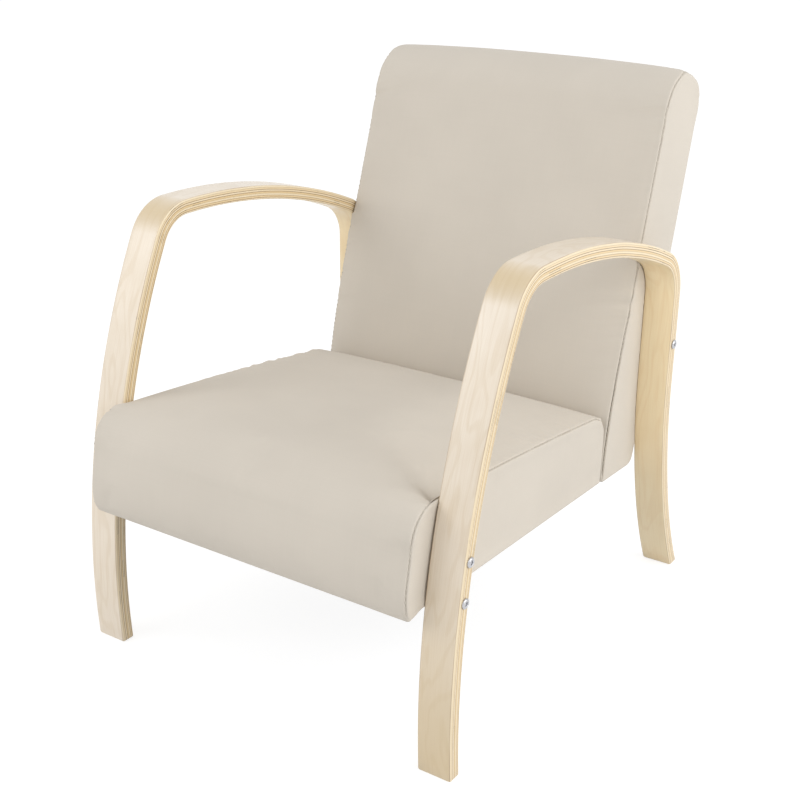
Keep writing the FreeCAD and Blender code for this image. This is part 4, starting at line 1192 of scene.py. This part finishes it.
def sew(piece, c, gathers, openings, seed):
    """Draw the seams in, fold the cloth up along them, leave the stuffing a little uneven and keep the
    strength of the seams' painted shade.
    """
    cover = read_cover(piece)
    seam, along, side = cover.seam, cover.along, np.sign(cover.side)
    on_seam = eased((along - HELD_NEAR) / HELD_FAR) * eased((piece["main_length"] - along) / HELD_FAR)
    opened = along_bumps(along, openings)
    # Strength of the painted shade along the seams, full where a seam pulls open
    keep_attribute(piece, "parted_shade", (SEAM_SHADE + (1 - SEAM_SHADE) * opened) * on_seam)
    depth = c.seam_groove + (c.open_groove - c.seam_groove) * opened
    width = c.groove_width * np.sqrt(depth / c.seam_groove)
    groove = -depth * np.exp(-(seam / width) ** 2) * on_seam
    slanted = along + side * FOLD_SLANT * np.abs(seam)
    folds = wander(slanted / c.pucker_pitch + FOLD_START * side, seed)
    fine_pitch = FINE_FOLD_PITCH * c.pucker_pitch
    folds = folds + FINE_FOLD_SHARE * wander(slanted / fine_pitch + FINE_FOLD_START * side, seed + 1)
    ragged = wander(along / (RAGGED_PITCH * c.pucker_pitch) + RAGGED_START * side, seed + 2)
    height = c.pucker * along_bumps(along, gathers) * (1 - RAGGED_SHARE + RAGGED_SHARE * ragged) * on_seam
    reach = c.pucker_reach * np.where(seam > 0, 1.0, SIDE_FOLD_REACH)
    start = 1 - np.exp(-(seam / c.groove_width) ** 2)
    puckers = height * folds * np.exp(-np.abs(seam) / reach) * start
    broad = sum(wander(cover.points @ way / c.ripple_size + RIPPLE_START, seed + RIPPLE_SEEDS + k)
                for k, way in enumerate(RIPPLE_WAYS)) / len(RIPPLE_WAYS)
    calm = eased(np.abs(seam) / RIPPLE_EASE) * np.where(seam > 0, 1.0, SIDE_RIPPLE) * on_seam
    raised = groove + puckers + c.ripple * broad * calm
    move_points(piece.data, cover.points + cover.normals * raised[:, None])


def dent(piece, start, end, widths, depth):
    """Press a hollow into a cushion's top along a line in plan that fades and widens to its end."""
    cover = read_cover(piece)
    plan = cover.points[:, :2] - start
    run = end - start
    shares = np.clip(plan @ run / (run @ run), 0, 1)
    away = np.linalg.norm(plan - shares[:, None] * run, axis=1)
    width = widths[0] + (widths[1] - widths[0]) * shares
    on_top = eased(cover.normals[:, 2] * DENT_TOP) * (cover.seam >= 0)
    hollow = depth * (1 - shares) ** DENT_FADE * np.exp(-(away / width) ** 2) * on_top
    move_points(piece.data, cover.points - cover.normals * hollow[:, None])


def rest_plane(seat, c):
    """Plane where the seat and the back press together: a point of it, and its direction to the rear."""
    corners = np.array(((seat.depth, 0.0), (seat.depth - seat.rear_lean, seat.rear_height)))
    low, high = placed(seat_form(seat, c), corners)
    upward = (high - low) / np.linalg.norm(high - low)
    return low, np.array((upward[1], -upward[0]))


def press_flat(piece, plane, gap, way):
    """Flatten what passes a plane; way is 1 for a piece ahead of it and -1 for one behind it."""
    points = read_points(piece.data)
    low, rearward = plane
    past = np.maximum(0, way * ((points[:, 1:] - low) @ rearward - gap))
    points[:, 1:] -= way * past[:, None] * rearward
    move_points(piece.data, points)


def swell_sides(piece, bends, depth, bulges, reach):
    """Let a cushion's left and right sides swell ahead of the legs, whose face is at a depth in the bends."""
    points = read_points(piece.data)
    face = np.array([bend.point(lean, depth) for bend in bends
                     for lean in np.linspace(*bend.leans, LEG_POINTS)])
    y, z = face[np.argsort(face[:, 1])].T
    room = np.interp(points[:, 2], z, y, right=NO_LEG) - points[:, 1]
    outward = np.abs(points[:, 0])
    near_side = eased((outward - outward.max() + BULGE_WIDTH) / BULGE_WIDTH)
    bulge = np.where(points[:, 0] > 0, *bulges) * near_side * eased((room + BULGE_OVERLAP) / reach)
    points[:, 0] += np.sign(points[:, 0]) * bulge
    move_points(piece.data, points)


# Stitches

# Counts of a stitch's mesh, and shares of its thread
THREAD_SIDES = 6
THREAD_RINGS = 5
THREAD_SINK = 0.45
THREAD_ENDS = 0.45
STITCH_RISE = 0.8
UNDERSIDE = -0.5
ON_SEAM = 1e-5


def seam_line(cushion, c, sign):
    """Points along one side's seam, raised where it pulls open, and the direction out of it at each."""
    cover = read_cover(cushion)
    along, length_sewn = cover.along, cushion["main_length"]
    chosen = (np.abs(cover.seam) < ON_SEAM) & (cover.side * sign > 0.5) & (cover.normals[:, 2] > UNDERSIDE)
    chosen &= (along > c.hem_round * 2) & (along < length_sewn - c.hem_round * 2)
    order = np.flatnonzero(chosen)
    order = order[np.argsort(along[order])]
    up = cover.normals[order]
    parted_shade = read_attribute(cushion.data, "parted_shade")[order]
    return cover.points[order] + up * (STITCH_RISE * c.open_groove * parted_shade)[:, None], up


def stitch(middle, lift, thread):
    """Points of one stitch, as rings about a line that dips into the cloth at both ends."""
    ahead = middle[-1] - middle[0]
    across = np.cross(ahead / np.linalg.norm(ahead), lift)
    swell = np.sin(np.linspace(0, 1, THREAD_RINGS) * math.pi)[:, None]
    middle = middle + lift * thread * (swell - THREAD_SINK)
    radii = thread / 2 * (THREAD_ENDS + (1 - THREAD_ENDS) * np.sqrt(swell))
    turns = np.linspace(0, 2 * math.pi, THREAD_SIDES, endpoint=False)
    return [center + r * (math.cos(t) * a + math.sin(t) * b)
            for center, a, b, r in zip(middle, across, lift, radii) for t in turns]


def stitch_seams(name, cushion, c, material):
    """Lock stitches along the side seams of a cushion."""
    verts, faces = [], []
    for sign in SIDES.values():
        line, up = seam_line(cushion, c, sign)
        travel = np.concatenate(((0,), np.cumsum(np.linalg.norm(np.diff(line, axis=0), axis=1))))
        for start in np.arange(c.stitch_pitch, travel[-1] - c.stitch_pitch, c.stitch_pitch):
            places = start + c.stitch_length * np.linspace(0, 1, THREAD_RINGS)
            middle, lift = (np.stack([np.interp(places, travel, row) for row in rows.T], axis=1)
                            for rows in (line, up))
            faces += closed_tube(len(verts), THREAD_RINGS, THREAD_SIDES)
            verts += stitch(middle, lift, c.thread)
    tidy_faces(new_piece(name, verts, faces, material), ALL_SMOOTH)


# Bolts

# Counts of a bolt's mesh, and shares of its rim and socket
BOLT_SIDES = 48
BOLT_SPACING = 0.016
DOME_STEPS = 8
RIM_EASE = 0.25
FLAT_SHARE = 0.75
SOCKET_EASE = 0.0003
SOCKET_TIP = 0.1
SOCKET_TIP_DEPTH = 1.2
BOLT_ROUGHNESS = 0.24


def bolt_places():
    """Side, Y, Z and inner end of each bolt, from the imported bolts."""
    cloud = read_points(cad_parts["frame_bolts"].data)
    heads = cloud[np.abs(cloud[:, 0]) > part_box("left_side_frame")[1].x]
    places = []
    while len(heads):
        near = np.sign(heads[:, 0]) == np.sign(heads[0, 0])
        near &= np.hypot(*(heads[:, 1:] - heads[0, 1:]).T) < BOLT_SPACING
        box = heads[near]
        middle = (box.min(axis=0) + box.max(axis=0)) / 2
        own = np.hypot(*(cloud[:, 1:] - middle[1:]).T) < BOLT_SPACING / 2
        own &= np.sign(cloud[:, 0]) == np.sign(middle[0])
        places.append((np.sign(middle[0]), middle[1], middle[2], np.abs(cloud[own, 0]).min()))
        heads = heads[~near]
    return places


def bolt_rings(s, inner, face, turns):
    """Radii and distance from the chair's middle, from the shank's end to the bottom of the socket."""
    top = face + s.rim + s.dome
    head, shank, ease = s.head / 2, s.shank / 2, s.rim * RIM_EASE
    bends = np.linspace(0, math.pi / 2, DOME_STEPS)
    radii = head - (head - s.socket * FLAT_SHARE) * (1 - np.cos(bends))
    profile = [(shank, inner), (shank, face), (head - ease, face), (head, face + ease)]
    profile += zip(radii, face + s.rim + s.dome * np.sin(bends))
    hexagon = (s.socket / 2) / np.cos((turns + math.pi / 6) % (math.pi / 3) - math.pi / 6)
    return [(np.full(len(turns), radius), x) for radius, x in profile] + [
        (hexagon + SOCKET_EASE, top), (hexagon, top - SOCKET_EASE), (hexagon, top - s.socket_depth),
        (hexagon * SOCKET_TIP, top - s.socket_depth * SOCKET_TIP_DEPTH)]


def make_bolts(s, material):
    """Button-head bolts with hexagon sockets."""
    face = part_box("left_side_frame")[1].x
    turns = np.linspace(0, 2 * math.pi, BOLT_SIDES, endpoint=False)
    verts, faces = [], []
    for side, y, z, inner in bolt_places():
        rings = bolt_rings(s, inner, face, turns)
        faces += closed_tube(len(verts), len(rings), BOLT_SIDES)
        for radii, x in rings:
            verts += [(side * x, y + r * math.cos(t), z + r * math.sin(t)) for r, t in zip(radii, turns)]
    piece = new_piece("bolt_heads", verts, faces, material)
    tidy_faces(piece, SHARP_DEGREES)
    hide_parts("frame_bolts")


# Dust cloth under the seat

# The cloth's sag and hem, and the pull along its tacked edges
DUST_STEPS = 90
DUST_THICKNESS = 0.0008
DUST_SAG = 0.003
DUST_SAG_REACH = 0.12
DUST_HEM = 0.012
DUST_PULL = 0.0006
DUST_PULL_PITCH = 0.021
DUST_PULL_REACH = 0.03
DUST_PULL_EASE = 0.01
DUST_SEEDS = (61, 62)
DUST_SHARP = 60
DUST_BLACK = (42, 42, 44)


def shell_faces(n):
    """Faces of a thin shell of two square grids, n points a side, closed along its rim."""
    cells = [(k, k + 1, k + n + 1, k + n) for row in range(n - 1) for k in range(row * n, row * n + n - 1)]
    upper = n * n
    rim = [*range(n), *range(2 * n - 1, upper, n), *range(upper - 2, upper - n - 1, -1),
           *range(upper - 2 * n, 0, -n)]
    faces = cells + [tuple(v + upper for v in cell) for cell in cells]
    return faces + [(a, b, b + upper, a + upper) for a, b in zip(rim, rim[1:] + rim[:1])]


def dust_heights(across, along, to_side, to_end):
    """Lower face of the dust cloth: it sags, its hem is doubled, and its tacked edges pull."""
    edge = np.minimum(to_end, to_side)
    pull = wander(across / DUST_PULL_PITCH, DUST_SEEDS[0]) * np.exp(-to_end / DUST_PULL_REACH)
    pull += wander(along / DUST_PULL_PITCH, DUST_SEEDS[1]) * np.exp(-to_side / DUST_PULL_REACH)
    hem = DUST_THICKNESS * (edge < DUST_HEM)
    sag = DUST_SAG * eased(edge / DUST_SAG_REACH)
    return DUST_PULL * pull * eased(edge / DUST_PULL_EASE) - DUST_THICKNESS - sag - hem


def make_dust_cloth(seat, c, material):
    """Thin cloth stretched under the seat, with its edges turned in."""
    low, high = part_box("seat_dust_cover")
    form = seat_form(seat, c)
    reach = (high.y - low.y) / math.cos(seat.slope)
    start = (low.y - form.origin[0]) / math.cos(seat.slope)
    across, along = np.meshgrid(np.linspace(low.x, high.x, DUST_STEPS), np.linspace(0, reach, DUST_STEPS))
    lower = dust_heights(across, along, np.minimum(across - low.x, high.x - across),
                         np.minimum(along, reach - along))
    layers = []
    for height in (lower, lower + DUST_THICKNESS):
        flat = placed(form, np.column_stack((start + along.ravel(), height.ravel())))
        layers.append(np.column_stack((across.ravel(), flat)))
    piece = new_piece("seat_dust_cloth", np.concatenate(layers), shell_faces(DUST_STEPS), material)
    layer = piece.data.uv_layers.new(name="cloth")
    for loop in piece.data.loops:
        layer.data[loop.index].uv = piece.data.vertices[loop.vertex_index].co.xy
    tidy_faces(piece, DUST_SHARP)
    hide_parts("seat_dust_cover")


# Stage

# Places and sizes of the lamps, and levels of the white floor
SENSOR_WIDTH = 36.0
LAMP_TARGET = (0.0, 0.0, 0.4)
KEY_PLACE = (2.8, 0.25, 1.9)
KEY_SIZE = (2.6, 2.2)
FILL_PLACE = (-1.45, -2.35, 1.8)
FILL_SIZE = (2.2, 1.6)
FLOOR_GREY = 0.8
FLOOR_SHADOW = 0.35
FLOOR_GLOW = 0.80
WHITE = (1, 1, 1, 1)


def add_lamp(name, place, size, watts):
    """A soft rectangular lamp that shines at the chair."""
    lamp = bpy.data.lights.new(name, "AREA")
    lamp.shape = "RECTANGLE"
    lamp.size, lamp.size_y = size
    lamp.energy = watts
    turn = (Vector(LAMP_TARGET) - Vector(place)).to_track_quat("-Z", "Y")
    new_object(name, lamp).matrix_world = Matrix.Translation(place) @ turn.to_matrix().to_4x4()


def empty_tree(owner):
    """The cleared node tree of a world or a material."""
    owner.use_nodes = True
    owner.node_tree.nodes.clear()
    return owner.node_tree


def seen_directly(tree):
    """1 where the camera, a mirror or glass looks straight at a surface."""
    path = add(tree, "ShaderNodeLightPath").outputs
    either = maths(tree, "MAXIMUM", path["Is Camera Ray"], path["Is Glossy Ray"])
    return maths(tree, "MAXIMUM", either, path["Is Transmission Ray"])


def by_view(tree, lighting, seen, output):
    """Use one shader for light and another where a surface is seen directly."""
    choice = add(tree, "ShaderNodeMixShader", {0: seen_directly(tree), 1: lighting.outputs[0],
                                               2: seen.outputs[0]})
    add(tree, output, {"Surface": choice.outputs[0]})


def set_world(s):
    """Even light all round, in front of a white background."""
    world = bpy.data.worlds.new("studio")
    bpy.context.scene.world = world
    tree = empty_tree(world)
    light = add(tree, "ShaderNodeBackground", {"Color": WHITE, "Strength": s.ambient})
    white = add(tree, "ShaderNodeBackground", {"Color": WHITE, "Strength": 1.0})
    by_view(tree, light, white, "ShaderNodeOutputWorld")


def floor_material():
    """White floor that keeps soft shadows."""
    material = bpy.data.materials.new("studio_floor")
    tree = empty_tree(material)
    lit, shadow = (add(tree, "ShaderNodeBsdfDiffuse", {"Color": (grey, grey, grey, 1)})
                   for grey in (FLOOR_GREY, FLOOR_SHADOW))
    glow = add(tree, "ShaderNodeEmission", {"Color": WHITE, "Strength": FLOOR_GLOW})
    bright = add(tree, "ShaderNodeAddShader", {0: shadow.outputs[0], 1: glow.outputs[0]})
    by_view(tree, lit, bright, "ShaderNodeOutputMaterial")
    return material


def make_floor(s):
    """The floor that the chair stands on."""
    half = s.floor_size / 2
    mesh = bpy.data.meshes.new("floor")
    corners = [(-half, -half, 0), (half, -half, 0), (half, half, 0), (-half, half, 0)]
    mesh.from_pydata(corners, [], [(0, 1, 2, 3)])
    mesh.materials.append(floor_material())
    floor = new_object("floor", mesh)


def make_camera(s):
    """The camera, at the photograph's viewing angle."""
    data = bpy.data.cameras.new("camera")
    data.sensor_width = SENSOR_WIDTH
    data.lens = s.lens
    camera = new_object("camera", data)
    level = Vector((math.cos(s.azimuth), math.sin(s.azimuth), 0))
    back = Vector((level.y * math.cos(s.elevation), -level.x * math.cos(s.elevation), math.sin(s.elevation)))
    upright = back.cross(level)
    right = math.cos(s.roll) * level + math.sin(s.roll) * upright
    up = math.cos(s.roll) * upright - math.sin(s.roll) * level
    turn = Matrix((right, up, back)).transposed()
    camera.matrix_world = Matrix.Translation(s.camera) @ turn.to_4x4()
    bpy.context.scene.camera = camera


# Operators

# A gather or an opening of a seam: its middle, its half width and its share of the full height
SEAT_FRONT_GATHER = (0.0, 0.09, 0.9)
SEAT_TOP_GATHER = (0.36, 0.22, 1.0)
SEAT_REAR_GATHER = (0.0, 0.05, 1.2)
BACK_LOW_GATHER = (0.30, 0.22, 0.9)
BACK_HIGH_GATHER = (-0.05, 0.16, 1.0)
BACK_ROLL_GATHER = (0.10, 0.08, 0.8)
# The opening also deepens the seam's groove and strengthens its painted shade line
BACK_OPENING = (0.10, 0.22, 1.0)
SEAT_SEED = 11
BACK_SEED = 41
SEAT_EVENING = 0
BACK_EVENING = 120
DENT_START = np.array((0.258, -0.335))
DENT_END = np.array((0.115, -0.200))
DENT_DEPTH = 0.009
DENT_WIDTHS = (0.017, 0.038)
PINCH_END = DENT_START + (DENT_END - DENT_START) / 6
PINCH_DEPTH = 0.005
PINCH_WIDTHS = (0.010, 0.010)
FRONT_REACH = 0.020
REAR_REACH = 0.004

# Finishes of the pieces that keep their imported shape: colours, and a roughness
TIMBER = (linear(214, 184, 142), linear(186, 150, 106), 0.6)
HARDBOARD = (linear(128, 92, 62), linear(104, 72, 48), 0.7)
SCREW_ZINC = (linear(206, 206, 208), 0.3)
PLATE_ZINC = (linear(190, 192, 194), 0.36)
WEBBING = linear(70, 62, 52)
FOAM = linear(232, 222, 190)


def moved_on(place, gather):
    """A gather whose middle is counted from a place along the seam."""
    middle, width, height = gather
    return place + middle, width, height


def stuffed_cushion(name, form, c, passes):
    """A cover, pressed out by its stuffing and made finer."""
    piece = build_cushion(name, form, c, cover_cloth(c))
    stuff(piece, c, passes)
    subdivide(piece)
    return piece


class ARMCHAIR_OT_side_frames(bpy.types.Operator):
    """Build the two bent plywood strips"""
    bl_idname = "armchair.side_frames"
    bl_label = "Side frames"

    def execute(self, context):
        settings = context.scene.armchair_strips
        material = plywood_material(settings)
        for side in SIDES:
            make_side_frame(settings, side, material)
        return {"FINISHED"}


class ARMCHAIR_OT_seat(bpy.types.Operator):
    """Build the sewn and stuffed seat cushion"""
    bl_idname = "armchair.seat"
    bl_label = "Seat"

    def execute(self, context):
        s = context.scene.armchair_seat
        c = context.scene.armchair_cloth
        form = seat_form(s, c)
        piece = stuffed_cushion("seat_cushion", form, c, SEAT_EVENING)
        gathers = (moved_on(s.front_height, SEAT_FRONT_GATHER), moved_on(s.front_height, SEAT_TOP_GATHER),
                   moved_on(form.length - s.rear_height, SEAT_REAR_GATHER))
        sew(piece, c, gathers, (), SEAT_SEED)
        dent(piece, DENT_START, DENT_END, DENT_WIDTHS, DENT_DEPTH)
        dent(piece, DENT_START, PINCH_END, PINCH_WIDTHS, PINCH_DEPTH)
        press_flat(piece, rest_plane(s, c), 0.0, 1)
        front_leg = strip_path(context.scene.armchair_strips)[:1]
        swell_sides(piece, front_leg, 0.0, (s.left_bulge, s.right_bulge), FRONT_REACH)
        stitch_seams("seat_seam_stitches", piece, c, thread_material(c))
        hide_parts("seat_cover", "seat_foam")
        return {"FINISHED"}


class ARMCHAIR_OT_back(bpy.types.Operator):
    """Build the sewn and stuffed back cushion"""
    bl_idname = "armchair.back"
    bl_label = "Back"

    def execute(self, context):
        s = context.scene.armchair_back
        c = context.scene.armchair_cloth
        seat = context.scene.armchair_seat
        strips = context.scene.armchair_strips
        piece = stuffed_cushion("back_cushion", back_form(s, c, seat), c, BACK_EVENING)
        gathers = (BACK_LOW_GATHER, moved_on(s.height, BACK_HIGH_GATHER),
                   moved_on(s.height, BACK_ROLL_GATHER))
        sew(piece, c, gathers, (BACK_OPENING,), BACK_SEED)
        press_flat(piece, rest_plane(seat, c), SEAT_TO_BACK, -1)
        rear_leg = strip_path(strips)[-2:]
        swell_sides(piece, rear_leg, strips.thickness, (s.side_bulge, s.side_bulge), REAR_REACH)
        stitch_seams("back_seam_stitches", piece, c, thread_material(c))
        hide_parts("back_cover", "back_foam")
        return {"FINISHED"}


class ARMCHAIR_OT_bolts(bpy.types.Operator):
    """Build the button-head bolts"""
    bl_idname = "armchair.bolts"
    bl_label = "Bolts"

    def execute(self, context):
        settings = context.scene.armchair_bolts
        make_bolts(settings, metal_material("bright_zinc", settings.metal, BOLT_ROUGHNESS))
        return {"FINISHED"}


class ARMCHAIR_OT_dust_cloth(bpy.types.Operator):
    """Build the cloth under the seat"""
    bl_idname = "armchair.dust_cloth"
    bl_label = "Dust cloth"

    def execute(self, context):
        scene = context.scene
        material = cloth_material("dust_cloth", linear(*DUST_BLACK), scene.armchair_cloth.yarn / 2)
        make_dust_cloth(scene.armchair_seat, scene.armchair_cloth, material)
        return {"FINISHED"}


class ARMCHAIR_OT_inner_frame(bpy.types.Operator):
    """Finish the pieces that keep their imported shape"""
    bl_idname = "armchair.inner_frame"
    bl_label = "Inner frame"

    def execute(self, context):
        finishes = {
            "frame_timber": timber_material("frame_timber", *TIMBER),
            "hardboard": timber_material("hardboard", *HARDBOARD),
            "webbing": strap_material("webbing", WEBBING),
            "zinc_steel": metal_material("screw_zinc", *SCREW_ZINC),
            "plate_steel": metal_material("plate_zinc", *PLATE_ZINC),
            "foam": strap_material("foam", FOAM),
        }
        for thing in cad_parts.values():
            for place in thing.material_slots:
                name = place.material.name.split(".")[0]
                if name in finishes:
                    place.material = finishes[name]
        return {"FINISHED"}


class ARMCHAIR_OT_stage(bpy.types.Operator):
    """Set the floor, the light and the camera"""
    bl_idname = "armchair.stage"
    bl_label = "Stage"

    def execute(self, context):
        s = context.scene.armchair_stage
        context.scene.view_settings.view_transform = "Standard"
        set_world(s)
        make_floor(s)
        make_camera(s)
        add_lamp("key", KEY_PLACE, KEY_SIZE, s.key)
        add_lamp("fill", FILL_PLACE, FILL_SIZE, s.fill)
        return {"FINISHED"}


class ARMCHAIR_PT_looks(bpy.types.Panel):
    """Pieces of the armchair"""
    bl_idname = "ARMCHAIR_PT_looks"
    bl_label = "Armchair"
    bl_space_type = "VIEW_3D"
    bl_region_type = "UI"
    bl_category = "Armchair"

    def draw(self, context):
        for operator in OPERATORS:
            self.layout.operator(operator.bl_idname)
        for name in SETTINGS:
            box = self.layout.box()
            group = getattr(context.scene, name)
            for key in group.bl_rna.properties.keys():
                if key not in ("rna_type", "name"):
                    box.prop(group, key)


OPERATORS = (ARMCHAIR_OT_side_frames, ARMCHAIR_OT_seat, ARMCHAIR_OT_back, ARMCHAIR_OT_bolts,
             ARMCHAIR_OT_dust_cloth, ARMCHAIR_OT_inner_frame, ARMCHAIR_OT_stage)
SETTINGS = {
    "armchair_strips": SideFrameSettings,
    "armchair_seat": SeatSettings,
    "armchair_back": BackSettings,
    "armchair_cloth": ClothSettings,
    "armchair_bolts": BoltSettings,
    "armchair_stage": StageSettings,
}


def register():
    """Add the settings, the operators and the panel."""
    for name, settings in SETTINGS.items():
        bpy.utils.register_class(settings)
        setattr(bpy.types.Scene, name, PointerProperty(type=settings))
    for part in (*OPERATORS, ARMCHAIR_PT_looks):
        bpy.utils.register_class(part)


def unregister():
    """Take the panel, the operators and the settings away."""
    for part in (ARMCHAIR_PT_looks, *reversed(OPERATORS)):
        bpy.utils.unregister_class(part)
    for name, settings in SETTINGS.items():
        delattr(bpy.types.Scene, name)
        bpy.utils.unregister_class(settings)


def main():
    """Build every piece and the stage."""
    register()
    bpy.ops.armchair.side_frames()
    bpy.ops.armchair.seat()
    bpy.ops.armchair.back()
    bpy.ops.armchair.bolts()
    bpy.ops.armchair.dust_cloth()
    bpy.ops.armchair.inner_frame()
    bpy.ops.armchair.stage()
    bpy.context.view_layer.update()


if __name__ == "__main__":
    main()
